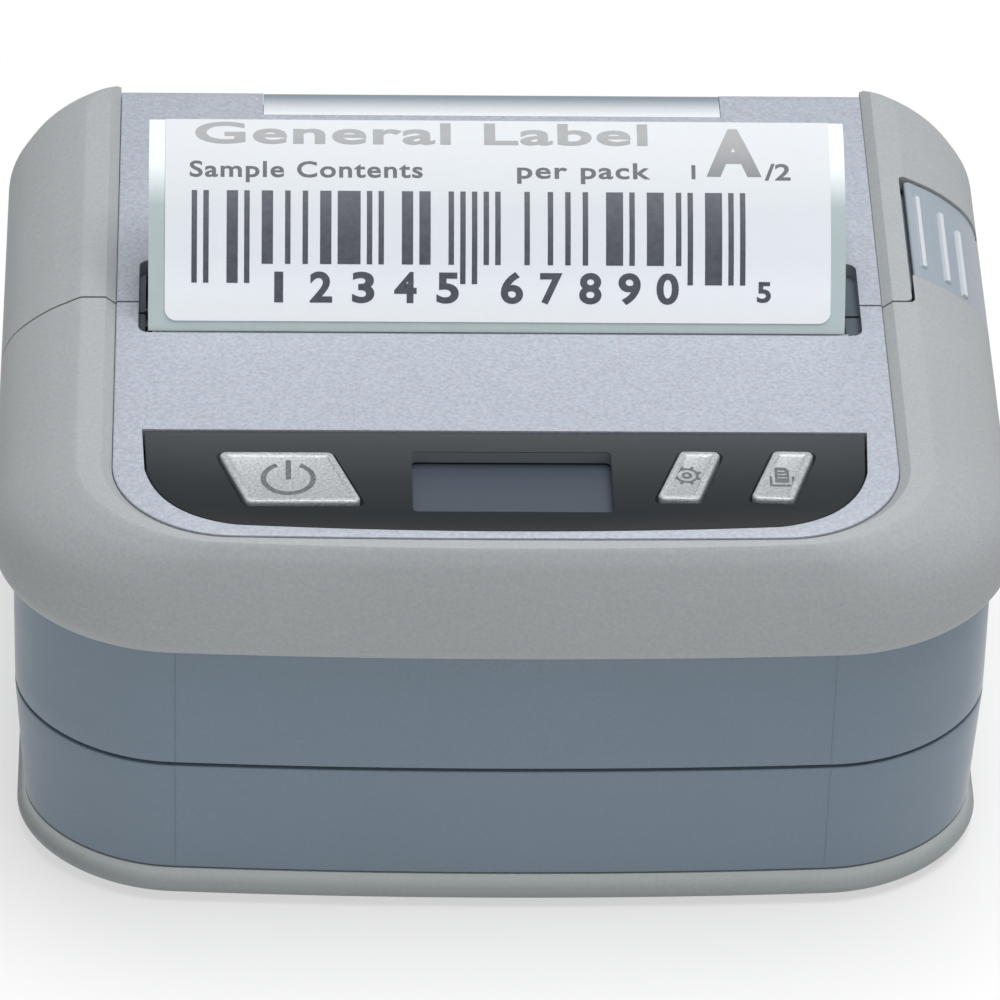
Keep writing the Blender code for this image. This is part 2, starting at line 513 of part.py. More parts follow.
outer, innr = lid_line(0.0), lid_line(DECK_T)
lid = place("lid_panel", bm_prism(outer + innr[::-1], -SIL_A, SIL_A, "x"), "deck_silver", HINGE)
cut(lid, bm_prism(rounded([(-SLOT_A, -9.0), (SLOT_A, -9.0), (SLOT_A, SLOT_Y1), (-SLOT_A, SLOT_Y1)], 1.2, 3), 40, 60))
for s in (-1, 1):
    k0, k1 = sorted((s * KN[0], s * KN[1]))
    cut(lid, bm_box(k0 - 0.35, k1 + 0.35, 43.0, 50.0, 30.0, 37.8))
    l0, l1 = sorted((s * KL[0], s * KL[1]))
    join(lid, bm_prism(circle(AX_Y, AX_Z, 1.7, 16), l0, l1, "x"))
    cut(lid, bm_prism(circle(AX_Y, AX_Z, 1.0, 12), l0 - 1, l1 + 1, "x"))
    place(("hinge_pin_left", "hinge_pin_right")[s > 0], bm_prism(circle(AX_Y, AX_Z, 0.75, 12), min(s * 19.4, s * 36.2), max(s * 19.4, s * 36.2), "x"), "steel")
WIN_A, WIN_Y = 26.5, 40.2
pocket = lid_line(-1.0, WIN_Y, 40.0) + lid_line(1.3, WIN_Y, 40.0)[::-1]
cut(lid, bm_prism(pocket, -WIN_A, WIN_A, "x"))
win = lid_line(0.25, WIN_Y + 0.2, 40.2) + lid_line(1.05, WIN_Y + 0.2, 40.2)[::-1]
place("lid_window", bm_prism(win, -WIN_A + 0.2, WIN_A - 0.2, "x"), "window_smoke", HINGE)

cheek = [(1.15, 39.2), (6.2, 39.2), (8.4, 41.0), (8.4, 44.6), (43.0, 44.6), (43.0, 45.9), (10.9, 45.9), (8.6, 45.9), (2.9, 45.9), (2.1, 44.6), (1.55, 43.0), (1.3, 41.5)]
frame = place("lid_frame", bm_prism(cheek, -42.5, -41.0, "x"), "inner_black", HINGE)
join(frame, bm_prism(cheek, 41.0, 42.5, "x"), bm_box(-41.5, 41.5, 12.0, 43.0, 45.1, 45.9))
cut(frame, bm_prism(circle(PLAT_Y, PLAT_Z, 1.8, 14), -50, 50, "x"))
cut(frame, bm_box(-30.0, 30.0, 16.0, 38.0, 40.0, 50.0))
# catch tab that the latch hook holds
join(frame, bm_box(42.0, 46.9, 18.0, 26.0, 44.8, 45.9))
join(frame, bm_prism([(45.5, 46.9), (40.8, 46.9), (40.8, 45.9), (41.2, 45.4), (41.7, 45.4), (41.7, 46.2), (45.5, 46.2)], 18.0, 26.0, "y"))

# ---- latch ----
LT = (50.0, 20.0, 43.0)


def latch_section(drop):
    """Cross-section (x, z) of the latch cap following the ring slope, lowered by drop."""
    line = [(a, z) for z, a, *_ in RING if 40.9 < z]
    line = [(46.9, 49.1 - 0.35)] + [(x - 0.0, z - 0.0) for x, z in sorted(line)[1:]]
    return [(x - drop * 0.55, z - drop) for x, z in line]


sec_o = latch_section(0.25)
sec_o = [(46.85, 48.3), (47.0, 48.47), (47.4, 48.5)] + [p for p in sec_o if p[0] > 47.6]
sec_i = [(x - 1.3, z - 1.5) for x, z in sec_o]
sec_i[:3] = [(46.85, 46.5), (46.95, 46.5), (47.05, 46.5)]
cap = place("latch_button", bm_prism([(z, x) for x, z in sec_o + sec_i[::-1]], LATCH_Y0, LATCH_Y1, "y"), "latch_grey", LT)
cut(cap, bm_box(50.0, 60.0, 0.0, 40.0, 36.0, 40.7))
# three grip ribs running front to rear, and the inner stem
line = sec_o


def on_line(u):
    """Point at fraction u of the section's length, with its outward normal."""
    d = [0.0]
    for p, q in zip(line, line[1:]):
        d.append(d[-1] + math.hypot(q[0] - p[0], q[1] - p[1]))
    t = u * d[-1]
    for k in range(len(line) - 1):
        if t <= d[k + 1] or k == len(line) - 2:
            f = (t - d[k]) / (d[k + 1] - d[k])
            p, q = line[k], line[k + 1]
            x, z = p[0] + f * (q[0] - p[0]), p[1] + f * (q[1] - p[1])
            l = math.hypot(q[0] - p[0], q[1] - p[1])
            return x, z, -(q[1] - p[1]) / l, (q[0] - p[0]) / l


for u in (0.26, 0.50, 0.74):
    x, z, nx, nz = on_line(u)
    tx, tz = nz, -nx
    w, h = 0.42, 0.55
    q = [(x - w * tx - 0.5 * nx, z - w * tz - 0.5 * nz), (x + w * tx - 0.5 * nx, z + w * tz - 0.5 * nz),
         (x + 0.6 * w * tx + h * nx, z + 0.6 * w * tz + h * nz), (x - 0.6 * w * tx + h * nx, z - 0.6 * w * tz + h * nz)]
    join(cap, bm_prism([(b, a) for a, b in q], LATCH_Y0 + 1.2, LATCH_Y1 - 1.2, "y"))
join(cap, bm_box(48.6, 50.0, 17.0, 26.4, 38.6, 46.4))
hook = place("latch_hook", bm_prism([(36.9, 48.3), (38.0, 48.3), (38.0, 45.0), (42.0, 45.0), (42.0, 46.0), (42.5, 46.0), (43.4, 45.0), (43.4, 44.1), (36.9, 44.1)], 19.0, 25.0, "y"), "steel", LT)
n_turn, per, wire, cr = 4, 8, 0.25, 1.5
bm = bmesh.new()
rows = []
for i in range(n_turn * per + 1):
    t = 2 * math.pi * i / per
    cx = 44.9 + 3.2 * i / (n_turn * per)
    c = (cx, 22.0 + cr * math.cos(t), 35.2 + cr * math.sin(t))
    row = []
    for k in range(5):
        p = 2 * math.pi * k / 5
        row.append(bm.verts.new((c[0] + wire * math.sin(p), c[1] + wire * math.cos(p) * math.cos(t), c[2] + wire * math.cos(p) * math.sin(t))))
    rows.append(row)
for lo_, hi_ in zip(rows, rows[1:]):
    for k in range(5):
        j = (k + 1) % 5
        bm.faces.new((lo_[k], lo_[j], hi_[j], hi_[k]))
bm.faces.new(rows[0][::-1])
bm.faces.new(rows[-1])
bmesh.ops.recalc_face_normals(bm, faces=bm.faces[:])
place("latch_spring", bm, "steel")
join(cap, bm_box(48.6, 50.0, 19.5, 24.5, 33.2, 39.0))

# ---- electronics and power ----
board = place("main_board", bm_box(-40.0, 40.0, -38.0, -16.0, 24.2, 25.4), "pcb_green")
cut(board, bm_box(-46.0, -22.4, -20.5, -10.0, 20.0, 30.0))
place("main_chip", bm_box(-4.0, 6.0, -32.0, -22.0, 25.6, 27.0), "chip_black")
usb = place("usb_socket", bm_box(45.3, 51.6, 12.6, 21.4, 23.9, 27.1), "steel")
cut(usb, bm_box(46.4, 53.0, 13.2, 20.8, 24.4, 26.6))
join(usb, bm_box(46.0, 50.6, 14.4, 19.6, 25.2, 25.8))
place("battery", bm_prism(rounded([(-36.0, -37.0), (36.0, -37.0), (36.0, -17.0), (-36.0, -17.0)], 3.0, 4), 3.6, 21.6), "battery_blue")
place("battery_cover", bm_box(DOOR[0], DOOR[1], DOOR[2], DOOR[3], 0.6, 2.4), "foot_grey")

# ---- feet and case screws ----
for i, (fx, fy) in enumerate(FEET):
    place(f"rubber_foot_{i + 1}", bm_revolve([(0.0, 3.6), (0.3, 4.0), (1.0, 4.0)], "z", fx, fy, 16), "rubber_black")
for i, (sx, sy) in enumerate(SCREWS):
    s = place(f"case_screw_{i + 1}", bm_revolve([(0.7, 2.3), (1.2, 2.3), (1.2001, 1.1), (2.45, 1.1)], "z", sx, sy, 12), "steel")
    cut(s, bm_box(sx - 1.4, sx + 1.4, sy - 0.25, sy + 0.25, 0.0, 0.95), bm_box(sx - 0.25, sx + 0.25, sy - 1.4, sy + 1.4, 0.0, 0.95))
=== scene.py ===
"""Looks of the portable thermal label printer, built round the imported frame.

Lengths in the geometry helpers are millimetres measured from the middle of the case; Y_SHIFT moves them to the row frame.
"""

import json
import math

import bmesh
import bpy
import numpy as np
from mathutils import Matrix, Vector

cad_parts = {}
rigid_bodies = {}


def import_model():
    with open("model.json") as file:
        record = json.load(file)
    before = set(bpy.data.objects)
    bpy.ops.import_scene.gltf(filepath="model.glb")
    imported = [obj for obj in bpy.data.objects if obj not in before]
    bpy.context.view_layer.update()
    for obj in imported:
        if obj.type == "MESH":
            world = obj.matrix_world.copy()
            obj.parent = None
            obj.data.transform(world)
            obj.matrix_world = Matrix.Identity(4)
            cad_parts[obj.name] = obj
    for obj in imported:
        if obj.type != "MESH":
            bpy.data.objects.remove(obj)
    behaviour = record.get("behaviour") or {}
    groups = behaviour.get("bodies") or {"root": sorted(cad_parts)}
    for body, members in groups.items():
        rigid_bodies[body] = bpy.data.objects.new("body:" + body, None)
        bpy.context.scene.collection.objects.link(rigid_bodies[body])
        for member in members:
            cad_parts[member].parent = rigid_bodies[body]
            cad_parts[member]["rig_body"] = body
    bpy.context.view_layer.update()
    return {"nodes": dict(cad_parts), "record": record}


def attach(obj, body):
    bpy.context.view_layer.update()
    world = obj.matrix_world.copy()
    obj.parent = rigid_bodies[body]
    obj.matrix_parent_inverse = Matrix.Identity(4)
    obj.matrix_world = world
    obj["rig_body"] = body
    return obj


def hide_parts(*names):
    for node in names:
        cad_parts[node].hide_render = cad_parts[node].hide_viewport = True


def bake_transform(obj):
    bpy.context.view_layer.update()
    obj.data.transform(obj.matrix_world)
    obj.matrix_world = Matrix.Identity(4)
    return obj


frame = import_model()

MM, Y_SHIFT = 0.001, 1.075
BODY_A, BODY_YF, BODY_YB = 53.86, -44.54, 45.0
BODY_RF, BODY_RB, BODY_CF = 17.5, 8.0, 2.1
TAPER = 0.86
Z_FOOT, Z_LOW0, Z_LOW1, Z_UP0, Z_UP1 = 3.85, 4.05, 18.95, 19.4, 35.55
DECK_Z, DECK_T = 48.5, 2.2
SIL_A, SIL_YF, SIL_R, SIL_CF = 42.9, -41.1, 13.0, 0.7
PART_Y = 2.6
SLOT_A, SLOT_Y0, SLOT_Y1 = 40.4, -3.3, 10.7
AX_Y, AX_Z = 46.9, 35.75
PLAT_Y, PLAT_Z, PLAT_R = 3.6, 41.5, 4.8
ROLL_Y, ROLL_Z, ROLL_R, CORE_R = 23.2, 24.4, 16.4, 7.2
IDLER_Z, PIN_Y, PIN_Z = 30.1, -5.0, 25.4
PANEL_Z, BTN_Z = 48.38, 48.85
LIFT_X0, LATCH_Y0, LATCH_Y1 = 46.6, 8.1, 27.1
STRIP_A, LABEL_A, EXIT_Y, EXIT_Z = 38.85, 37.4, -2.3, 48.5
PAPER_X = -0.45
KN, KL = (28.0, 36.0), (19.6, 27.6)
WIN_A, WIN_Y, LID_R = 26.5, 40.2, 2.6

RING = (
    (35.90, 55.35, -46.15, 46.2, 19.0, 9.0),
    (36.80, 55.80, -46.45, 46.5, 19.2, 9.0),
    (38.80, 55.95, -46.45, 46.6, 19.2, 9.0),
    (41.00, 55.70, -46.20, 46.6, 19.0, 9.0),
    (42.60, 55.15, -45.95, 46.6, 18.8, 9.0),
    (44.10, 54.20, -45.65, 46.6, 18.4, 8.8),
    (45.66, 52.60, -45.25, 46.6, 17.8, 7.5),
    (47.33, 50.30, -44.75, 46.4, 17.0, 6.5),
    (48.55, 48.00, -44.10, 45.9, 16.0, 5.5),
    (49.10, 46.90, -43.70, 45.2, 15.6, 5.0),
)


# ------------------------------------------------------------------ materials
def srgb(r, g, b):
    """Linear colour of an 8-bit display colour."""
    out = []
    for c in (r, g, b):
        c = c / 255
        out.append(c / 12.92 if c <= 0.04045 else ((c + 0.055) / 1.055) ** 2.4)
    return tuple(out)


class Mat:
    """A Principled material with short helpers for its node tree."""

    def __init__(self, name, colour, rough=0.5, metal=0.0, **more):
        self.m = bpy.data.materials.new(name)
        self.m.use_nodes = True
        self.t = self.m.node_tree
        self.b = self.t.nodes["Principled BSDF"]
        self.set("Base Color", (*colour, 1.0))
        self.set("Roughness", rough)
        self.set("Metallic", metal)
        for k, v in more.items():
            self.set(k.replace("_", " "), v)
        self.m.diffuse_color = (*colour, 1.0)
        self._co = None

    def set(self, socket, value):
        self.b.inputs[socket].default_value = value

    def node(self, kind, **inputs):
        n = self.t.nodes.new(kind)
        for k, v in inputs.items():
            n.inputs[k.replace("_", " ")].default_value = v
        return n

    def link(self, a, b):
        self.t.links.new(a, b)

    def co(self, scale=1000.0):
        """Object coordinates in millimetres."""
        if self._co is None:
            tc = self.node("ShaderNodeTexCoord")
            mp = self.node("ShaderNodeMapping")
            mp.inputs["Scale"].default_value = (scale,) * 3
            self.link(tc.outputs["Object"], mp.inputs["Vector"])
            self._co = mp.outputs["Vector"]
        return self._co

    def noise(self, scale, detail=3.0, rough=0.55, stretch=None):
        n = self.node("ShaderNodeTexNoise", Scale=scale, Detail=detail, Roughness=rough)
        src = self.co()
        if stretch:
            mp = self.node("ShaderNodeMapping")
            mp.inputs["Scale"].default_value = stretch
            self.link(src, mp.inputs["Vector"])
            src = mp.outputs["Vector"]
        self.link(src, n.inputs["Vector"])
        return n.outputs["Fac"]

    def ramp(self, fac, stops):
        r = self.node("ShaderNodeValToRGB")
        e = r.color_ramp.elements
        e[0].position, e[0].color = stops[0][0], (*stops[0][1], 1)
        e[1].position, e[1].color = stops[-1][0], (*stops[-1][1], 1)
        for p, c in stops[1:-1]:
            k = e.new(p)
            k.color = (*c, 1)
        self.link(fac, r.inputs["Fac"])
        return r.outputs["Color"]

    def mix(self, a, b, fac=0.5, kind="MULTIPLY"):
        n = self.t.nodes.new("ShaderNodeMix")
        n.data_type, n.blend_type = "RGBA", kind
        for s, v in ((n.inputs["Factor"], fac), (n.inputs[6], a), (n.inputs[7], b)):
            if hasattr(v, "is_linked"):
                self.link(v, s)
            else:
                s.default_value = v if not isinstance(v, tuple) else (*v, 1.0)
        return n.outputs[2]

    def along(self, axis, lo, hi):
        """0 to 1 along an object axis, between two heights in millimetres."""
        sep = self.node("ShaderNodeSeparateXYZ")
        self.link(self.co(), sep.inputs[0])
        mr = self.node("ShaderNodeMapRange")
        mr.inputs["From Min"].default_value, mr.inputs["From Max"].default_value = lo, hi
        self.link(sep.outputs["XYZ".index(axis)], mr.inputs["Value"])
        return mr.outputs["Result"]

    def to_range(self, fac, lo, hi):
        mr = self.node("ShaderNodeMapRange")
        mr.inputs["To Min"].default_value, mr.inputs["To Max"].default_value = lo, hi
        self.link(fac, mr.inputs["Value"])
        return mr.outputs["Result"]

    def colour(self, out):
        self.link(out, self.b.inputs["Base Color"])
        return self

    def roughness(self, out):
        self.link(out, self.b.inputs["Roughness"])
        return self

    def bump(self, height, distance_mm, strength=1.0, round_mm=0.0):
        """Grain, with the edges rounded a little by the bevel shader."""
        b = self.node("ShaderNodeBump", Strength=strength, Distance=distance_mm * MM)
        self.link(height, b.inputs["Height"])
        if round_mm:
            v = self.node("ShaderNodeBevel", Radius=round_mm * MM)
            v.samples = 4
            self.link(v.outputs["Normal"], b.inputs["Normal"])
        self.link(b.outputs["Normal"], self.b.inputs["Normal"])
        return self


def tint(c, k):
    return tuple(min(1.0, x * k) for x in c)


def moulded(name, colour, rough, grain=2.2, depth=0.012, spread=0.06, round_mm=0.12, **more):
    """Satin moulded plastic: fine spark-eroded grain, slow colour drift, slightly worn sheen."""
    m = Mat(name, colour, rough, **more)
    fine = m.noise(grain, 4.0, 0.65)
    slow = m.noise(0.05, 2.0)
    a = m.ramp(fine, [(0.3, tint(colour, 1 - spread)), (0.7, tint(colour, 1 + spread))])
    drift = m.ramp(slow, [(0.3, (0.965,) * 3), (0.7, (1.0,) * 3)])
    m.colour(m.mix(a, drift, 1.0))
    m.roughness(m.to_range(m.noise(0.35, 3.0), rough - 0.05, rough + 0.05))
    m.bump(fine, depth, 1.0, round_mm)
    return m


def speckled(name, colour, rough, scale, depth, spread, metal, round_mm=0.12, tints=0.05):
    """Metallic paint: fine flakes of several brightnesses, some warm and some cool."""
    m = Mat(name, colour, rough, metal)
    fine = m.noise(scale, 2.0, 0.7)
    hue = m.noise(scale * 0.8, 1.0, 0.5, stretch=(1.0, 1.0, 1.7))
    a = m.ramp(fine, [(0.28, tint(colour, 1 - spread)), (0.5, colour), (0.72, tint(colour, 1 + spread))])
    h = m.ramp(hue, [(0.35, (1.0, 1.0 - tints, 1.0 - tints * 0.6)), (0.5, (1.0, 1.0, 1.0)), (0.65, (1.0 - tints, 1.0 - tints * 0.3, 1.0))])
    m.colour(m.mix(a, h, 1.0))
    m.roughness(m.to_range(fine, rough - 0.08, rough + 0.1))
    m.bump(fine, depth, 1.0, round_mm)
    return m


M = {}
M["bumper_grey"] = moulded("bumper_grey", srgb(152, 156, 158), 0.6, 2.4, 0.02, 0.07)
m = M["foot_grey"] = Mat("foot_grey", srgb(164, 170, 171), 0.5)
fine = m.noise(2.4, 4.0, 0.65)
# the foot colour is multiplied down towards its bottom edge (0.36 at the floor, full colour above 3.2 mm): painted
# shade where the foot meets the floor
m.colour(m.mix(m.ramp(fine, [(0.3, srgb(163, 169, 170)), (0.7, srgb(170, 176, 177))]), m.ramp(m.along("Z", 0.5, 3.2), [(0.0, (0.36,) * 3), (0.5, (0.66,) * 3), (1.0, (1.0,) * 3)]), 1.0))
m.roughness(m.to_range(m.noise(0.35, 3.0), 0.45, 0.55))
m.bump(fine, 0.01, 1.0, 0.12)
M["body_blue"] = moulded("body_blue", srgb(107, 122, 136), 0.5, 2.6, 0.01, 0.05, Sheen_Weight=0.3, Sheen_Roughness=0.35)
M["deck_silver"] = speckled("deck_silver", srgb(160, 166, 175), 0.5, 2.2, 0.012, 0.16, 0.15, tints=0.05)
M["latch_grey"] = moulded("latch_grey", srgb(142, 151, 160), 0.45, 2.6, 0.008, 0.03)
# the ribs are the latch's own plastic; this lighter copy of the latch grey is a painted highlight on the raised ribs
M["latch_rib_painted_highlight"] = moulded("latch_rib_painted_highlight", srgb(190, 196, 200), 0.4, 2.6, 0.006, 0.02)
M["inner_black"] = moulded("inner_black", srgb(76, 87, 96), 0.6, 2.0, 0.01, 0.08)
M["rubber_black"] = moulded("rubber_black", srgb(38, 38, 40), 0.75, 1.6, 0.02, 0.1)
M["gear_white"] = moulded("gear_white", srgb(214, 213, 205), 0.5, 2.0, 0.005, 0.02)
M["chip_black"] = moulded("chip_black", srgb(34, 35, 38), 0.45, 3.0, 0.006, 0.08)
M["ceramic"] = moulded("ceramic", srgb(160, 148, 130), 0.35, 3.0, 0.003, 0.04)
M["card_brown"] = moulded("card_brown", srgb(160, 132, 100), 0.85, 1.0, 0.03, 0.12)

m = M["panel_black"] = Mat("panel_black", srgb(40, 44, 47), 0.4, 0.0, Specular_IOR_Level=0.12)
# the panel is painted lighter towards the rear and darker at the front: painted reflection and painted shade; the walls
# of its openings and its edge, below z 48.26, are painted 3.6 times lighter to offset the shade in the recesses
m.colour(m.mix(m.ramp(m.along("Y", -40.6, -22.9), [(0.0, srgb(26, 29, 31)), (0.5, srgb(42, 46, 49)), (1.0, srgb(64, 68, 71))]),
               m.ramp(m.along("Z", 46.6, 48.6), [(0.0, (3.6,) * 3), (0.83, (3.6,) * 3), (0.86, (1.0,) * 3)]), 1.0))
m.bump(m.noise(0.25, 2.0), 0.002, 1.0, 0.1)

m = M["display_grey"] = Mat("display_grey", srgb(70, 78, 90), 0.3, Specular_IOR_Level=0.3)
# the window is painted darker towards its rear: painted shade from the rear wall of the opening
m.colour(m.ramp(m.along("Y", -37.4, -26.2), [(0.0, srgb(70, 78, 87)), (0.5, srgb(66, 74, 84)), (1.0, srgb(58, 66, 76))]))
m.bump(m.noise(0.4, 2.0), 0.001, 1.0)

m = M["button_silver"] = speckled("button_silver", srgb(164, 168, 171), 0.42, 3.2, 0.05, 0.3, 0.3, round_mm=0.1, tints=0.02)

m = M["icon_ink"] = Mat("icon_ink", srgb(84, 88, 92), 0.6)
m.colour(m.ramp(m.noise(3.0, 3.0), [(0.3, srgb(70, 74, 78)), (0.7, srgb(104, 108, 112))]))

m = M["steel"] = Mat("steel", srgb(186, 187, 190), 0.32, 1.0)
brush = m.noise(1.2, 4.0, 0.6, stretch=(0.06, 1.6, 1.6))
m.colour(m.ramp(brush, [(0.3, srgb(166, 168, 171)), (0.7, srgb(198, 199, 202))]))
m.roughness(m.to_range(brush, 0.24, 0.42))
m.bump(brush, 0.004, 1.0, 0.06)

m = M["aluminium"] = Mat("aluminium", srgb(196, 198, 201), 0.4, 1.0)
brush = m.noise(1.0, 4.0, 0.6, stretch=(0.08, 1.4, 1.4))
m.colour(m.ramp(brush, [(0.3, srgb(180, 182, 186)), (0.7, srgb(208, 210, 212))]))
m.bump(brush, 0.006, 1.0)

m = M["pcb_green"] = Mat("pcb_green", srgb(30, 92, 58), 0.35, 0.0, Coat_Weight=0.4, Coat_Roughness=0.2)
v = m.node("ShaderNodeTexVoronoi", Scale=0.45)
v.distance = "MANHATTAN"
m.link(m.co(), v.inputs["Vector"])
m.colour(m.ramp(v.outputs["Distance"], [(0.1, srgb(24, 78, 50)), (0.5, srgb(34, 100, 64))]))

m = M["battery_blue"] = Mat("battery_blue", srgb(48, 82, 138), 0.35, 0.0, Coat_Weight=0.3, Coat_Roughness=0.15)
m.colour(m.ramp(m.noise(0.08, 3.0), [(0.35, srgb(42, 74, 128)), (0.65, srgb(54, 90, 146))]))
m.bump(m.noise(0.15, 2.0), 0.05, 1.0)

m = M["label_white"] = Mat("label_white", srgb(236, 240, 243), 0.6, 0.0, Specular_IOR_Level=0.2)
fibre = m.noise(0.8, 5.0, 0.6)
# the white label is painted near-white at the slot and greyer towards the curled top: painted shading that holds back
# the overhead light on the top
m.colour(m.mix(m.ramp(m.along("Z", 48.0, 63.5), [(0.0, srgb(250, 252, 254)), (0.3, srgb(234, 239, 244)), (0.5, srgb(216, 221, 227)), (0.75, srgb(202, 207, 212)), (1.0, srgb(200, 204, 208))]),
               m.ramp(fibre, [(0.3, (0.985,) * 3), (0.7, (1.0,) * 3)]), 1.0))
m.bump(fibre, 0.004, 1.0)

m = M["roll_paper"] = Mat("roll_paper", srgb(228, 231, 233), 0.6)
wound = m.noise(1.0, 2.0)
m.colour(m.ramp(wound, [(0.3, srgb(214, 218, 221)), (0.7, srgb(234, 237, 239))]))
m.bump(m.noise(2.5, 3.0), 0.02, 1.0)

m = M["liner_green"] = Mat("liner_green", srgb(184, 198, 198), 0.5, 0.0, Specular_IOR_Level=0.3)
fibre = m.noise(0.7, 5.0, 0.65)
# the liner is painted lighter at the slot and darker higher up (painted shade), with a light band at the top edge:
# painted highlight where the strip curls towards the overhead light
m.colour(m.mix(m.ramp(m.along("Z", 48.2, 62.5), [(0.0, srgb(196, 210, 213)), (0.2, srgb(184, 198, 200)), (0.6, srgb(166, 179, 181)), (0.82, srgb(160, 172, 174)), (1.0, srgb(214, 221, 223))]),
               m.ramp(fibre, [(0.3, (0.95,) * 3), (0.7, (1.0,) * 3)]), 1.0))
m.bump(fibre, 0.006, 1.0)

m = M["ink"] = Mat("ink", srgb(66, 70, 80), 0.5)
blot = m.noise(1.3, 4.0, 0.7)
m.colour(m.ramp(blot, [(0.3, srgb(60, 64, 74)), (0.7, srgb(78, 82, 92))]))

# heading ink is painted from dark at the bottom to pale at the top: painted highlight washing out the print where the
# label curls towards the light
m = M["ink_painted_highlight"] = Mat("ink_painted_highlight", srgb(150, 150, 152), 0.5)
m.colour(m.mix(m.ramp(m.along("Z", 60.6, 64.3), [(0.0, srgb(84, 88, 94)), (0.45, srgb(112, 115, 119)), (1.0, srgb(146, 148, 150))]),
               m.ramp(m.noise(1.6, 4.0, 0.7), [(0.3, (0.93,) * 3), (0.7, (1.0,) * 3)]), 1.0))

m = M["window_smoke"] = Mat("window_smoke", srgb(150, 160, 168), 0.4, 0.0, Specular_IOR_Level=0.15)
# the window is painted bright at the front and dark at the rear, where the lid curves down: painted reflection and
# painted shade over the smoky tint
m.colour(m.mix(m.ramp(m.along("Y", 39.2, 44.9), [(0.0, srgb(214, 218, 221)), (0.3, srgb(188, 193, 198)), (0.62, srgb(132, 141, 149)), (1.0, srgb(92, 104, 116))]),
               m.ramp(m.noise(1.8, 3.0), [(0.35, (0.97,) * 3), (0.65, (1.0,) * 3)]), 1.0))
m.bump(m.noise(0.3, 2.0), 0.004, 1.0)

MATS = {k: v.m for k, v in M.items()}

SLOT_OF = {p["node"]: p["material_slot"] for p in frame["record"]["subparts"]}
for name, ob in frame["nodes"].items():
    slot = SLOT_OF[name]
    ob.data.materials.clear()
    ob.data.materials.append(MATS["roll_paper" if name == "label_roll" else slot])
BODY_OF = {n: ob["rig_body"] for n, ob in frame["nodes"].items()}


# ------------------------------------------------------------------ mesh helpers
def raw(name, bm, mat, sharp=32.0):
    for v in bm.verts:
        v.co.x, v.co.y, v.co.z = v.co.x * MM, (v.co.y - Y_SHIFT) * MM, v.co.z * MM
    me = bpy.data.meshes.new(name)
    bm.to_mesh(me)
    bm.free()
    me.materials.append(MATS[mat])
    ob = bpy.data.objects.new(name, me)
    bpy.context.scene.collection.objects.link(ob)
    ob["sharp"] = sharp
    return ob


def settle(ob, body, slot, *nodes):
    """Smooth shading, then the piece takes its place on its body."""
    ob.data.shade_smooth()
    ob.data.set_sharp_from_angle(angle=math.radians(ob["sharp"]))
    del ob["sharp"]
    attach(ob, body)
    if nodes:
        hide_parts(*nodes)
    return ob


def stand(ob, node, mat=None):
    """The piece stands for one CAD node and rides where it does."""
    return settle(ob, BODY_OF[node], SLOT_OF[node], node)


def bm_loft(levels):
    bm = bmesh.new()
    rings = [[bm.verts.new((x, y, z)) for x, y in loop] for z, loop in levels]
    n = len(rings[0])
    for lo, hi in zip(rings, rings[1:]):
        for i in range(n):
            j = (i + 1) % n
            bm.faces.new((lo[i], lo[j], hi[j], hi[i]))
    bm.faces.new(rings[0][::-1])
    bm.faces.new(rings[-1])
    return bm


AT = {"z": lambda u, v, t: (u, v, t), "x": lambda u, v, t: (t, u, v), "y": lambda u, v, t: (v, t, u)}


def bm_prism(pts, lo, hi, axis="z"):
    area = sum(pts[i][0] * pts[(i + 1) % len(pts)][1] - pts[(i + 1) % len(pts)][0] * pts[i][1] for i in range(len(pts)))
    if area < 0:
        pts = pts[::-1]
    at = AT[axis]
    bm = bmesh.new()
    low = [bm.verts.new(at(u, v, lo)) for u, v in pts]
    top = [bm.verts.new(at(u, v, hi)) for u, v in pts]
    for i in range(len(pts)):
        j = (i + 1) % len(pts)
        bm.faces.new((low[i], low[j], top[j], top[i]))
    bm.faces.new(low[::-1])
    bm.faces.new(top)
    return bm


def bm_slab(rows, axis="x"):
    """Sections of the same polygon at several places along an axis: rows of (t, points)."""
    at = AT[axis]
    bm = bmesh.new()
    rings = [[bm.verts.new(at(u, v, t)) for u, v in pts] for t, pts in rows]
    n = len(rings[0])
    for lo, hi in zip(rings, rings[1:]):
        for i in range(n):
            j = (i + 1) % n
            bm.faces.new((lo[i], lo[j], hi[j], hi[i]))
    bm.faces.new(rings[0][::-1])
    bm.faces.new(rings[-1])
    bmesh.ops.recalc_face_normals(bm, faces=bm.faces[:])
    return bm


def bm_box(x0, x1, y0, y1, z0, z1):
    return bm_prism([(x0, y0), (x1, y0), (x1, y1), (x0, y1)], z0, z1)


def circle(cu, cv, r, n, turn=0.0):
    return [(cu + r * math.cos(2 * math.pi * i / n + turn), cv + r * math.sin(2 * math.pi * i / n + turn)) for i in range(n)]


def bm_revolve(profile, axis, cu, cv, n, ring=False):
    at = AT[axis]
    bm = bmesh.new()
    rows = [[bm.verts.new(at(u, v, t)) for u, v in circle(cu, cv, r, n)] for t, r in profile]
    m = len(rows)
    for k in range(m if ring else m - 1):
        lo, hi = rows[k], rows[(k + 1) % m]
        for i in range(n):
            j = (i + 1) % n
            bm.faces.new((lo[i], lo[j], hi[j], hi[i]))
    if not ring:
        bm.faces.new(rows[0][::-1])
        bm.faces.new(rows[-1])
    bmesh.ops.recalc_face_normals(bm, faces=bm.faces[:])
    return bm


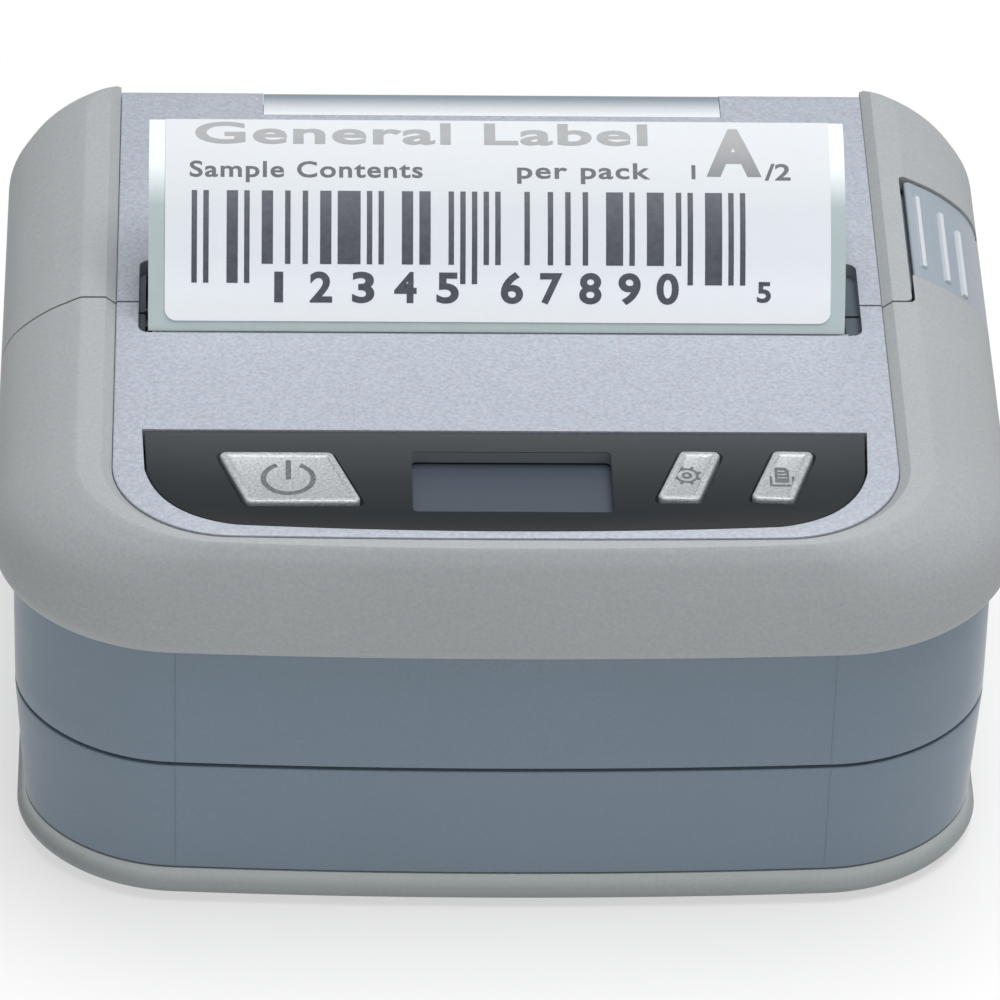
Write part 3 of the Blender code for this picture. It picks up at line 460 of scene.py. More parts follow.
def outline(a, yf, yb, rf, rb, cf=0.0, nf=22, nr=26, nb=16, ns=10):
    pts = []
    for x in np.linspace(0, a - rf, nf)[:-1]:
        pts.append((x, yf))
    for t in np.linspace(-math.pi / 2, 0, nr):
        pts.append((a - rf + rf * math.cos(t), yf + rf + rf * math.sin(t)))
    for y in np.linspace(yf + rf, yb - rb, ns + 1)[1:-1]:
        pts.append((a, y))
    for t in np.linspace(0, math.pi / 2, nb):
        pts.append((a - rb + rb * math.cos(t), yb - rb + rb * math.sin(t)))
    half = [p for p in pts if p[0] > 1e-9]
    out = []
    for x, y in pts + [(-x, y) for x, y in half[::-1]]:
        w = min(max((yf + rf - y) / rf, 0.0), 1.0)
        out.append((x, y + cf * (x / a) ** 2 * w))
    return out


def arc(cu, cv, r, a0, a1, n):
    return [(cu + r * math.cos(math.radians(t)), cv + r * math.sin(math.radians(t))) for t in np.linspace(a0, a1, n)]


def rounded(pts, r, n=8):
    out = []
    m = len(pts)
    for i in range(m):
        p = np.array(pts[i], float)
        a = np.array(pts[i - 1], float) - p
        b = np.array(pts[(i + 1) % m], float) - p
        la, lb = np.linalg.norm(a), np.linalg.norm(b)
        a, b = a / la, b / lb
        rr = r[i] if isinstance(r, (tuple, list)) else r
        half = math.acos(max(-1, min(1, float(a @ b)))) / 2
        d = min(rr / math.tan(half), 0.45 * la, 0.45 * lb)
        rr = d * math.tan(half)
        if rr < 0.02:
            out.append(tuple(p))
            continue
        c = p + (a + b) / np.linalg.norm(a + b) * rr / math.sin(half)
        v0, v1 = p + a * d - c, p + b * d - c
        t0, t1 = math.atan2(v0[1], v0[0]), math.atan2(v1[1], v1[0])
        dt = (t1 - t0 + math.pi) % (2 * math.pi) - math.pi
        for k in range(n + 1):
            t = t0 + dt * k / n
            out.append((c[0] + rr * math.cos(t), c[1] + rr * math.sin(t)))
    return out


def boolean(ob, other, op):
    tool = raw("tmp", other, "steel")
    mod = ob.modifiers.new("b", "BOOLEAN")
    mod.operation, mod.object, mod.solver = op, tool, "EXACT"
    bpy.context.view_layer.update()
    me = bpy.data.meshes.new_from_object(ob.evaluated_get(bpy.context.evaluated_depsgraph_get()))
    ob.modifiers.remove(mod)
    old = ob.data
    ob.data = me
    bpy.data.meshes.remove(old)
    me.name = ob.name
    bpy.data.objects.remove(tool, do_unlink=True)
    return ob


def cut(ob, *cutters):
    for c in cutters:
        boolean(ob, c, "DIFFERENCE")
    return ob


def join(ob, *adds):
    for c in adds:
        boolean(ob, c, "UNION")
    return ob


def smooth_rows(rows, n):
    """Rows of numbers made denser with a curve through them."""
    rows = np.array(rows, float)
    t = np.concatenate([[0], np.cumsum(np.linalg.norm(np.diff(rows[:, :2], axis=0), axis=1))])
    slope = np.gradient(rows, t, axis=0)
    out = []
    for i in range(len(rows) - 1):
        h = t[i + 1] - t[i]
        for k in range(n):
            u = k / n
            out.append((2 * u**3 - 3 * u**2 + 1) * rows[i] + (u**3 - 2 * u**2 + u) * h * slope[i] + (-2 * u**3 + 3 * u**2) * rows[i + 1] + (u**3 - u**2) * h * slope[i + 1])
    out.append(rows[-1])
    return out


def body_loop(off):
    return outline(BODY_A - off, BODY_YF + off, BODY_YB - off, BODY_RF - off, BODY_RB - off, BODY_CF)


def silver_loop(grow=0.0):
    return outline(SIL_A + grow, SIL_YF - grow, 60.0, SIL_R + grow, 2.0, SIL_CF)


# ------------------------------------------------------------------ base
FOOT = ((0.5, -0.15), (0.62, 0.15), (0.9, 0.45), (1.2, 0.66), (1.5, 0.8), (1.75, 0.84), (1.95, 0.78), (2.4, 0.42), (3.0, 0.12), (3.6, 0.02), (Z_FOOT - 0.05, 0.0), (Z_FOOT, -0.05))
foot = raw("foot_rim_piece", bm_loft([(z, body_loop(TAPER - g)) for z, g in smooth_rows(FOOT, 3)]), "foot_grey")
cut(foot, bm_loft([(2.6, body_loop(3.0)), (6.0, body_loop(3.0))]))
DOOR = (-37.0, 37.0, -38.0, -16.0)
SCREWS = ((-44.0, -22.0), (44.0, -22.0), (-44.0, 34.0), (44.0, 34.0))
FEET = ((-37.0, -10.0), (37.0, -10.0), (-37.0, 36.0), (37.0, 36.0))
cut(foot, bm_prism(rounded([(DOOR[0] - 0.3, DOOR[2] - 0.3), (DOOR[1] + 0.3, DOOR[2] - 0.3), (DOOR[1] + 0.3, DOOR[3] + 0.3), (DOOR[0] - 0.3, DOOR[3] + 0.3)], 1.2), -1.0, 4.0))
for sx, sy in SCREWS:
    cut(foot, bm_prism(circle(sx, sy, 1.5, 40), -1.0, 4.0), bm_prism(circle(sx, sy, 2.8, 48), -1.0, 1.5))
for fx, fy in FEET:
    cut(foot, bm_prism(circle(fx, fy, 4.3, 56), -1.0, 1.2))
stand(foot, "foot_rim")

EDGE = 0.18  # radius of the moulded edges at the groove


def wall_levels(z0, off0, z1, off1, lo_edge, hi_edge):
    """A wall between two heights with a small round at either end."""
    rows = []
    if lo_edge:
        rows += [(z0 + EDGE * (1 - math.cos(t)), off0 + EDGE * (1 - math.sin(t))) for t in np.linspace(0, math.pi / 2, 5)][:-1]
    for u in np.linspace(0, 1, 7):
        z = z0 + (EDGE if lo_edge else 0) + u * (z1 - z0 - (EDGE if lo_edge else 0) - (EDGE if hi_edge else 0))
        rows.append((z, off0 + (off1 - off0) * u))
    if hi_edge:
        rows += [(z1 - EDGE * (1 - math.cos(t)), off1 + EDGE * (1 - math.sin(t))) for t in np.linspace(math.pi / 2, 0, 5)][1:]
    return rows


lower = raw("lower_body_piece", bm_loft([(z, body_loop(o)) for z, o in wall_levels(Z_LOW0, TAPER, Z_LOW1, 0.0, True, True)]), "body_blue")
cut(lower, bm_loft([(Z_LOW0 - 1, body_loop(TAPER + 1.9)), (Z_LOW1 + 1, body_loop(1.95))]))
stand(lower, "lower_body")

up_rows = [(16.0, 2.25), (Z_UP0, 2.25)] + [(z + 0.0005, o) for z, o in wall_levels(Z_UP0, 0.0, Z_UP1, 0.0, True, False)]
upper = raw("upper_body_piece", bm_loft([(z, body_loop(o)) for z, o in up_rows]), "body_blue")
cut(upper, bm_loft([(10.0, body_loop(3.6)), (40.0, body_loop(3.6))]))
for s in (-1, 1):
    k0, k1 = sorted((s * KN[0], s * KN[1]))
    join(upper, bm_prism(rounded([(43.6, 32.9), (47.2, 32.9), (47.2, 34.9), (43.6, 34.9)], 0.4, 3), k0, k1, "x"), bm_prism(circle(AX_Y, AX_Z, 1.7, 48), k0, k1, "x"))
    cut(upper, bm_prism(circle(AX_Y, AX_Z, 1.0, 32), k0 - 1, k1 + 1, "x"))
cut(upper, bm_prism(rounded([(12.0, 23.6), (22.0, 23.6), (22.0, 27.4), (12.0, 27.4)], 1.3), 48.0, 56.0, "x"))
stand(upper, "upper_body")

# faint mould witness lines down the front of the case, 0.14 wide and standing 0.03 proud
for s, side in ((-1, "left"), (1, "right")):
    for part, z0, o0, z1, o1 in (("lower", Z_LOW0 + 0.3, TAPER, Z_LOW1 - 0.3, 0.0), ("upper", Z_UP0 + 0.3, 0.0, Z_UP1 - 0.1, 0.0)):
        rows = []
        for u in np.linspace(0, 1, 9):
            z, off = z0 + (z1 - z0) * u, o0 + (o1 - o0) * u
            loop = [p for p in body_loop(off) if p[1] < -30 and p[0] * s > 20]
            loop.sort(key=lambda p: abs(p[0]))
            xs, ys = [abs(p[0]) for p in loop], [p[1] for p in loop]
            x = 35.9
            y = float(np.interp(x, xs, ys))
            y2 = float(np.interp(x + 0.14, xs, ys))
            rows.append((z, [(y + 0.1, s * x), (y2 + 0.1, s * (x + 0.14)), (y2 - 0.03, s * (x + 0.14)), (y - 0.03, s * x)]))
        bm = bmesh.new()
        rings = [[bm.verts.new((q[1], q[0], z)) for q in pts] for z, pts in rows]
        for lo, hi in zip(rings, rings[1:]):
            for i in range(4):
                j = (i + 1) % 4
                bm.faces.new((lo[i], lo[j], hi[j], hi[i]))
        bm.faces.new(rings[0][::-1])
        bm.faces.new(rings[-1])
        bmesh.ops.recalc_face_normals(bm, faces=bm.faces[:])
        settle(raw(f"witness_{part}_{side}", bm, "body_blue"), "base", "body_blue")


# ------------------------------------------------------------------ bumper ring
RING_DENSE = smooth_rows(RING[:-1], 5)
# the crease between the slope and the flat rim is rounded by a fraction of a millimetre
RING_DENSE += [np.array(r) for r in ((49.012, 47.04, -43.76, 45.32, 15.66, 5.1), (49.075, 46.84, -43.69, 45.18, 15.6, 5.0), (49.10, 46.62, -43.60, 45.02, 15.5, 4.9))]


def ring_piece(name):
    ob = raw(name, bm_loft([(z, outline(a, yf, yb, rf, rb, BODY_CF)) for z, a, yf, yb, rf, rb in RING_DENSE]), "bumper_grey", 28.0)
    cut(ob, bm_loft([(30.0, silver_loop(0.06)), (48.2, silver_loop(0.06)), (49.1, silver_loop(1.2)), (52.0, silver_loop(1.2))]))
    hollow = [(34.0, 52.3, -42.9, 43.4, 16.0, 6.0), (43.4, 52.0, -42.9, 43.4, 16.0, 6.0), (47.2, 47.0, -41.9, 43.0, 14.5, 5.0)]
    cut(ob, bm_loft([(z, outline(a, yf, yb, rf, rb, BODY_CF)) for z, a, yf, yb, rf, rb in hollow]))
    return ob


top = ring_piece("top_bumper_piece")
master = top.data.copy()


def ring_copy(name):
    ob = bpy.data.objects.new(name, master.copy())
    bpy.context.scene.collection.objects.link(ob)
    ob["sharp"] = 28.0
    return ob


# the lid's front right corner, beside the latch, is rounded in plan
R_C = 0.7
base_notch = [(-60, PART_Y - 0.15), (LIFT_X0 + 0.05 - R_C, PART_Y - 0.15)] + arc(LIFT_X0 + 0.05 - R_C, PART_Y - 0.15 + R_C, R_C, -90, 0, 8) + [(LIFT_X0 + 0.05, 60), (-60, 60)]
cut(top, bm_prism(base_notch, 20, 60))
cut(top, bm_prism([(LATCH_Y0 - 0.35, 40.35), (LATCH_Y1, 40.35), (LATCH_Y1, 20.0), (60.0, 20.0), (60.0, 60.0), (LATCH_Y0 - 0.35, 60.0)], LIFT_X0 - 0.1, 60.0, "x"))
stand(top, "top_bumper")

lbl = ring_copy("lid_bumper_left_piece")
cut(lbl, bm_box(-60, 0, -60, PART_Y + 0.15, 20, 60), bm_box(-30, 60, -60, 60, 20, 60))
stand(lbl, "lid_bumper_left")

lbr = ring_copy("lid_bumper_right_piece")
xl = LIFT_X0 - 0.3
cut(lbr, bm_box(0, 60, -60, PART_Y + 0.15, 20, 60), bm_box(-60, 30, -60, 60, 20, 60))
cut(lbr, bm_prism([(xl, PART_Y - 5), (60, PART_Y - 5), (60, LATCH_Y1 + 0.3)] + [(xl + 0.5, LATCH_Y1 + 0.3)] + arc(xl + 0.5, LATCH_Y1 - 0.2, 0.5, 90, 180, 6), 20, 60))
corner = [(xl + 1, PART_Y - 1), (xl + 1, PART_Y + 0.15 + R_C)] + arc(xl - R_C, PART_Y + 0.15 + R_C, R_C, 0, -90, 8) + [(xl - R_C, PART_Y - 1)]
cut(lbr, bm_prism(corner, 20, 60))
cut(lbr, bm_box(45.5, 60, -60, LATCH_Y1 + 0.3, 20, 48.75))
stand(lbr, "lid_bumper_right")

# ------------------------------------------------------------------ deck
E = 0.16


def plate_levels(loop_of, z0, z1):
    """A plate with its upper edge rounded by E."""
    return [(z0, loop_of(0.0)), (z1 - E, loop_of(0.0))] + [(z1 - E * (1 - math.sin(t)), loop_of(-E * (1 - math.cos(t)))) for t in np.linspace(0.3, math.pi / 2, 4)]


deck = raw("deck_panel_piece", bm_loft(plate_levels(silver_loop, DECK_Z - DECK_T, DECK_Z)), "deck_silver")
cut(deck, bm_box(-60, 60, PART_Y - 0.15, 70, 30, 60))
slot_pts = rounded([(-SLOT_A, SLOT_Y0), (SLOT_A, SLOT_Y0), (SLOT_A, SLOT_Y1), (-SLOT_A, SLOT_Y1)], 1.2)
cut(deck, bm_prism(slot_pts, 40, 60))

CP_HALF, CP_Y0, CP_TAN, CP_TX, CP_SIDE = 39.5, -21.8, -38.65, 29.4, -28.7


def panel_loop(grow=0.0, n=26, nb=24):
    a, y0 = CP_HALF + grow, CP_Y0 + grow
    left = []
    p0, p1 = np.array([-(CP_HALF - 0.35) - grow, CP_SIDE - 0.2]), np.array([-CP_TX, CP_TAN - grow])
    c = np.array([-(CP_HALF - 1.9) - grow, CP_TAN + 1.6 - grow])
    for t in np.linspace(0, 1, n):
        q = (1 - t) ** 2 * p0 + 2 * t * (1 - t) * c + t * t * p1
        left.append((float(q[0]), float(q[1])))
    bottom = [(x, CP_TAN - grow - 1.0 * (1 - (x / CP_TX) ** 2)) for x in np.linspace(-CP_TX, CP_TX, nb + 2)[1:-1]]
    right = [(-x, y) for x, y in left[::-1]]
    return [(-a, y0)] + left + [(float(x), float(y)) for x, y in bottom] + right + [(a, y0)]


cut(deck, bm_prism(panel_loop(0.25), 40, 60))
cut(deck, bm_box(-SLOT_A, SLOT_A, -4.05, 0.0, 45.0, 48.3))
cut(deck, bm_box(-50.0, -40.0, -1.2, 5.0, 40.0, 47.85), bm_box(40.0, 50.0, -1.2, 5.0, 40.0, 47.85))
stand(deck, "deck_panel")

PWR = ((-31.5, -26.0), (-19.0, -26.0), (-15.7, -35.1), (-28.3, -35.2))
SET = ((19.1, -25.5), (23.6, -25.6), (20.8, -34.4), (16.1, -34.3))
PRN = ((29.3, -25.4), (33.8, -25.5), (31.0, -34.4), (26.3, -34.2))
DISP = (-10.3, 11.5, -36.2, -25.3)


def grow_poly(pts, g):
    c = np.mean(np.array(pts), axis=0)
    out = []
    m = len(pts)
    for i in range(m):
        p = np.array(pts[i])
        e0 = p - np.array(pts[i - 1])
        e1 = np.array(pts[(i + 1) % m]) - p
        n0 = np.array([e0[1], -e0[0]]) / np.linalg.norm(e0)
        n1 = np.array([e1[1], -e1[0]]) / np.linalg.norm(e1)
        if n0 @ (p - c) < 0:
            n0, n1 = -n0, -n1
        b = n0 + n1
        out.append(tuple(p + b * g / (1 + n0 @ n1)))
    return out


def panel_level(g):
    return panel_loop(g)[::-1]


pl = [(46.9, panel_loop()), (PANEL_Z - 0.12, panel_loop()), (PANEL_Z - 0.04, panel_loop(-0.04)), (PANEL_Z, panel_loop(-0.14))]
area = sum(a[0] * b[1] - b[0] * a[1] for a, b in zip(panel_loop(), panel_loop()[1:] + panel_loop()[:1]))
if area < 0:
    pl = [(z, q[::-1]) for z, q in pl]
cp = raw("control_panel_piece", bm_loft(pl), "panel_black")
for q in (PWR, SET, PRN):
    cut(cp, bm_prism(rounded(grow_poly(q, 0.3), 0.8), 40, 60))
cut(cp, bm_prism(rounded([(DISP[0], DISP[2]), (DISP[1], DISP[2]), (DISP[1], DISP[3]), (DISP[0], DISP[3])], 0.6), 40.0, 60))
stand(cp, "control_panel")
stand(raw("display_window_piece", bm_prism(rounded([(DISP[0] - 0.8, DISP[2] - 0.8), (DISP[1] + 0.8, DISP[2] - 0.8), (DISP[1] + 0.8, DISP[3] + 0.8), (DISP[0] - 0.8, DISP[3] + 0.8)], 0.5), 46.2, 46.65), "display_grey"), "display_window")


def icon(name, body, outline_pts, z, holes=(), mat="icon_ink"):
    """A printed mark on a key cap, 0.03 thick."""
    ob = raw(name, bm_prism(outline_pts, z - 0.01, z + 0.03), mat)
    for h in holes:
        cut(ob, bm_prism(h, z - 1, z + 1))
    return settle(ob, body, "button_silver")


for name, q, body in (("power_button", PWR, "power_key"), ("settings_button", SET, "settings_key"), ("print_button", PRN, "print_key")):
    lo = rounded(q, 0.7)[::-1]
    fl = rounded(grow_poly(q, 0.9), 0.8)[::-1]
    edge = [(BTN_Z - 0.3 + 0.3 * math.sin(t), rounded(grow_poly(q, -0.3 * (1 - math.cos(t))), 0.7 - 0.25 * (1 - math.cos(t)))[::-1]) for t in np.linspace(0, math.pi / 2, 6)]
    ob = raw(name + "_piece", bm_loft([(45.6, fl), (46.3, fl), (46.3001, lo)] + edge), "button_silver")
    cut(ob, bm_loft([(BTN_Z - 0.12, rounded(grow_poly(q, -0.95), 0.25)[::-1]), (BTN_Z - 0.06, rounded(grow_poly(q, -0.8), 0.3)[::-1]), (BTN_Z + 0.06, rounded(grow_poly(q, -0.62), 0.35)[::-1]), (60, rounded(grow_poly(q, -0.6), 0.35)[::-1])]))
    stand(ob, name)

CAP = BTN_Z - 0.12
# power mark: an open ring and a bar
px, py = -23.76, -30.8
ring_o = arc(px, py, 3.0, 90 + 28, 90 + 332, 48)
ring_i = arc(px, py, 2.42, 90 + 332, 90 + 28, 48)
icon("power_mark_ring", "power_key", ring_o + ring_i, CAP)
icon("power_mark_bar", "power_key", rounded([(px - 0.29, py - 0.2), (px + 0.29, py - 0.2), (px + 0.29, py + 3.3), (px - 0.29, py + 3.3)], 0.2, 4), CAP)
# settings mark: a toothed wheel with a hole
gx, gy = 19.6, -29.95
wheel = []
for i in range(8):
    t, p = 2 * math.pi * i / 8, 2 * math.pi / 8
    for f, rr in ((0.0, 1.32), (0.26, 1.32), (0.32, 1.68), (0.58, 1.68), (0.64, 1.32)):
        wheel.append((gx + rr * math.cos(t + f * p), gy + rr * math.sin(t + f * p)))
icon("settings_mark", "settings_key", wheel, CAP, holes=(circle(gx, gy, 1.02, 32),))
icon("settings_mark_ring", "settings_key", circle(gx, gy, 0.58, 24), CAP, holes=(circle(gx, gy, 0.26, 16),))
# print mark: a sheet over a tray
qx, qy = 30.0, -30.35
icon("print_mark_tray", "print_key", [(qx - 1.4, qy - 1.5), (qx + 1.3, qy - 1.5), (qx + 1.3, qy + 0.3), (qx + 1.02, qy + 0.3), (qx + 1.02, qy - 1.2), (qx - 1.12, qy - 1.2), (qx - 1.12, qy + 0.3), (qx - 1.4, qy + 0.3)], CAP)
icon("print_mark_sheet", "print_key", rounded([(qx - 0.8, qy - 0.8), (qx + 0.75, qy - 0.8), (qx + 0.75, qy + 1.4), (qx + 0.35, qy + 1.9), (qx - 0.8, qy + 1.9)], 0.2, 4), CAP,
     holes=([(qx - 0.5, qy - 0.05), (qx + 0.5, qy - 0.05), (qx + 0.5, qy + 0.2), (qx - 0.5, qy + 0.2)], [(qx - 0.5, qy + 0.55), (qx + 0.5, qy + 0.55), (qx + 0.5, qy + 0.8), (qx - 0.5, qy + 0.8)], [(qx - 0.5, qy + 1.15), (qx + 0.3, qy + 1.15), (qx + 0.3, qy + 1.4), (qx - 0.5, qy + 1.4)]))

# ------------------------------------------------------------------ tear bar
teeth, tooth = [], 0.78
n_teeth = int(2 * 39.8 / tooth)
x_start = -n_teeth * tooth / 2
for i in range(n_teeth):
    teeth += [(x_start + i * tooth, -3.15), (x_start + (i + 0.3) * tooth, -3.15), (x_start + (i + 0.44) * tooth, -2.86), (x_start + (i + 0.56) * tooth, -2.86), (x_start + (i + 0.7) * tooth, -3.15)]
teeth.append((-x_start, -3.15))
tb = raw("tear_bar_piece", bm_prism(teeth + [(-x_start, -3.26), (x_start, -3.26)], 48.02, 48.33), "steel", 25.0)
join(tb, bm_prism([(-x_start, -3.75), (x_start, -3.75), (x_start, -2.9), (-x_start, -2.9)], 45.6, 48.15))
stand(tb, "tear_bar")
# a thin dark strip laid over the steel just under the teeth: painted shade in the gaps between the teeth
settle(raw("tear_bar_gap_shade", bm_prism(rounded([(-39.7, -3.22), (39.7, -3.22), (39.7, -2.87), (-39.7, -2.87)], 0.1, 3), 48.1, 48.2), "inner_black"), "base", "inner_black")


# ------------------------------------------------------------------ lid
def lid_line(off=0.0, y0=PART_Y + 0.15, z_end=36.2, n=18):
    cy, cz, yr = 46.4 - LID_R, DECK_Z - LID_R, 46.4 - off
    return [(y0, DECK_Z - off)] + arc(cy, cz, LID_R - off, 90, 0, n) + [(yr, z_end)]


def lid_section(e):
    """Side section of the lid skin with its outer face e further in."""
    return lid_line(e) + lid_line(DECK_T)[::-1]


rows = [(-SIL_A + E * (1 - math.cos(t)), lid_section(E * (1 - math.sin(t)))) for t in np.linspace(0, math.pi / 2, 4)]
rows = rows + [(-x, s) for x, s in rows[::-1]]
lid = raw("lid_panel_piece", bm_slab(rows), "deck_silver")
cut(lid, bm_prism(slot_pts, 40, 60))
for s in (-1, 1):
    k0, k1 = sorted((s * KN[0], s * KN[1]))
    cut(lid, bm_box(k0 - 0.35, k1 + 0.35, 43.0, 50.0, 30.0, 37.8))
    l0, l1 = sorted((s * KL[0], s * KL[1]))
    join(lid, bm_prism(circle(AX_Y, AX_Z, 1.7, 48), l0, l1, "x"))
    cut(lid, bm_prism(circle(AX_Y, AX_Z, 1.0, 32), l0 - 1, l1 + 1, "x"))
    pin = raw(("hinge_pin_left", "hinge_pin_right")[s > 0] + "_piece", bm_revolve([(min(s * 19.4, s * 36.2), 0.6), (min(s * 19.4, s * 36.2) + 0.15, 0.75), (max(s * 19.4, s * 36.2) - 0.15, 0.75), (max(s * 19.4, s * 36.2), 0.6)], "x", AX_Y, AX_Z, 32), "steel")
    stand(pin, ("hinge_pin_left", "hinge_pin_right")[s > 0])
cut(lid, bm_prism(lid_line(-1.0, WIN_Y, 40.0) + lid_line(1.3, WIN_Y, 40.0)[::-1], -WIN_A, WIN_A, "x"))
stand(lid, "lid_panel")
win = raw("lid_window_piece", bm_prism(lid_line(0.08, WIN_Y + 0.1, 40.1) + lid_line(1.05, WIN_Y + 0.1, 40.1)[::-1], -WIN_A + 0.05, WIN_A - 0.05, "x"), "window_smoke")
stand(win, "lid_window")

# narrow ledges closing the two ends of the slot below the deck
for side, xa, xb in (("left", -40.9, -39.65), ("right", 38.75, 40.9)):
    for part, ya, yb in (("base", -3.2, PART_Y - 0.2), ("lid", PART_Y + 0.2, SLOT_Y1 + 0.1)):
        ledge = raw(f"slot_ledge_{part}_{side}", bm_prism(rounded([(xa, ya), (xb, ya), (xb, yb), (xa, yb)], 0.3, 4), 46.2, 46.9), "inner_black")
        settle(ledge, part, "inner_black")

# ------------------------------------------------------------------ latch
ring_line = [(a, z) for z, a, *_ in RING_DENSE if 40.9 < z]
sec_o = [(x - 0.25 * 0.55, z - 0.25) for x, z in sorted(ring_line)]
sec_o = [(46.85, 48.2), (46.88, 48.33), (46.97, 48.43), (47.12, 48.48), (47.4, 48.5)] + [p for p in sec_o if p[0] > 47.75]
sec_i = [(x - 1.3, z - 1.5) for x, z in sec_o]
sec_i[:5] = [(46.85, 46.5), (46.88, 46.5), (46.95, 46.5), (47.0, 46.5), (47.05, 46.5)]
sec = [(z, x) for x, z in sec_o + sec_i[::-1]]
cap = raw("latch_button_piece", bm_prism(sec, LATCH_Y0, LATCH_Y1, "y"), "latch_grey", 30.0)
cut(cap, bm_box(50.0, 60.0, 0.0, 40.0, 36.0, 40.7))


def on_line(u):
    d = [0.0]
    for p, q in zip(sec_o, sec_o[1:]):
        d.append(d[-1] + math.hypot(q[0] - p[0], q[1] - p[1]))
    t = u * d[-1]
    for k in range(len(sec_o) - 1):
        if t <= d[k + 1] or k == len(sec_o) - 2:
            f = (t - d[k]) / (d[k + 1] - d[k])
            p, q = sec_o[k], sec_o[k + 1]
            x, z = p[0] + f * (q[0] - p[0]), p[1] + f * (q[1] - p[1])
            l = math.hypot(q[0] - p[0], q[1] - p[1])
            return x, z, -(q[1] - p[1]) / l, (q[0] - p[0]) / l


join(cap, bm_box(48.6, 50.0, 17.0, 26.4, 38.6, 46.4), bm_box(48.6, 50.0, 19.5, 24.5, 33.2, 39.0))
stand(cap, "latch_button")
for i, (u, y0, y1) in enumerate(((0.12, 10.4, 24.4), (0.37, 9.7, 23.2), (0.57, 9.0, 21.8))):
    x, z, nx, nz = on_line(u)
    tx, tz = nz, -nx
    rows = []
    for y, g in ((y0, 0.8), (y0 + 0.1, 1.0), (y1 - 0.2, 1.0), (y1, 0.7)):
        h, w = 0.02 + 0.42 * g, 0.34
        prof = [(x - w * tx - 0.4 * nx, z - w * tz - 0.4 * nz), (x + w * tx - 0.4 * nx, z + w * tz - 0.4 * nz)]
        prof += [(x + w * (1 - 0.25 * k) * tx + h * (0.0 if k == 0 else 1.0) * nx, z + w * (1 - 0.25 * k) * tz + h * (0.0 if k == 0 else 1.0) * nz) for k in (0, 1)]
        prof += [(x - w * (1 - 0.25 * k) * tx + h * (0.0 if k == 0 else 1.0) * nx, z - w * (1 - 0.25 * k) * tz + h * (0.0 if k == 0 else 1.0) * nz) for k in (1, 0)]
        rows.append((y, [(b, a) for a, b in prof]))
    # the ribs take the lighter copy of the latch grey: painted highlight
    rib = raw(f"latch_rib_painted_highlight_{i + 1}", bm_slab(rows, "y"), "latch_rib_painted_highlight", 25.0)
    settle(rib, "latch", "latch_grey")


# the latch spring is wound round X, between the case and the latch
bm, rings = bmesh.new(), []
for i in range(4 * 28 + 1):
    t, cx = 2 * math.pi * i / 28, 44.9 + 3.2 * i / (4 * 28)
    ring = []
    for k in range(10):
        p = 2 * math.pi * k / 10
        ring.append(bm.verts.new((cx + 0.25 * math.sin(p), 22.0 + (1.5 + 0.25 * math.cos(p)) * math.cos(t), 35.2 + (1.5 + 0.25 * math.cos(p)) * math.sin(t))))
    rings.append(ring)
for lo, hi in zip(rings, rings[1:]):
    for k in range(10):
        j = (k + 1) % 10
        bm.faces.new((lo[k], lo[j], hi[j], hi[k]))
bm.faces.new(rings[0][::-1])
bm.faces.new(rings[-1])
bmesh.ops.recalc_face_normals(bm, faces=bm.faces[:])
spring = raw("latch_spring_piece", bm, "steel")
del spring["sharp"]
spring.data.shade_smooth()
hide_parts("latch_spring")
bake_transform(spring)

# ------------------------------------------------------------------ paper
N_S = 600
_y, _z, _line, S_MAX = EXIT_Y, EXIT_Z, [], 24.6
for _i in range(N_S + 1):
    _s = S_MAX * _i / N_S
    _a = math.radians(69.0 - 57.0 * (_s / S_MAX) ** 1.15)
    _line.append((_s, _y, _z, _a))
    _y += S_MAX / N_S * math.cos(_a)
    _z += S_MAX / N_S * math.sin(_a)
LINE = np.array(_line)


def on_paper(s, off):
    """Place on the curled strip: s along it from the slot, off in front of its rear face."""
    y, z, a = (float(np.interp(s, LINE[:, 0], LINE[:, k])) for k in (1, 2, 3))
    if s < 0:
        y, z = y + s * math.cos(a), z + s * math.sin(a)
    return y - off * math.sin(a), z + off * math.cos(a)


def curl(name, bm, mat, sharp=40.0):
    """A flat mesh of (x, s, off) is split into short bands and laid on the strip."""
    for s in np.arange(-0.2, S_MAX, 0.8):
        bmesh.ops.bisect_plane(bm, geom=bm.verts[:] + bm.edges[:] + bm.faces[:], plane_co=(0, s, 0), plane_no=(0, 1, 0), dist=1e-6)
    for v in bm.verts:
        x, s, off = v.co
        y, z = on_paper(s, off)
        v.co = (x + PAPER_X, y, z)
    bmesh.ops.recalc_face_normals(bm, faces=bm.faces[:])
    return raw(name, bm, mat, sharp)


strip = curl("backing_strip_piece", bm_prism(rounded([(-STRIP_A, -0.35), (STRIP_A, -0.35), (STRIP_A, S_MAX), (-STRIP_A, S_MAX)], 0.05, 2), 0.12, 0.25), "liner_green")
stand(strip, "backing_strip")
LAB0, LAB1 = 0.26, 0.40
lab_pts = rounded([(-LABEL_A + 0.38, 0.86), (LABEL_A - 0.2, 0.86), (LABEL_A - 0.2, S_MAX - 0.03), (-LABEL_A + 0.38, S_MAX - 0.03)], [1.3, 1.3, 0.05, 0.05], 10)
label = curl("printed_label_piece", bm_prism(lab_pts, LAB0, LAB1), "label_white")
stand(label, "printed_label")


def px_x(px):
    """Across the label, in mm from the strip's middle."""
    return (px - 501.4) / 8.93 - PAPER_X


def merged(bms):
    out = bmesh.new()
    for b in bms:
        me = bpy.data.meshes.new("t")
        b.to_mesh(me)
        b.free()
        out.from_mesh(me)
        bpy.data.meshes.remove(me)
    return out


INK0, INK1 = LAB1 - 0.004, LAB1 + 0.02


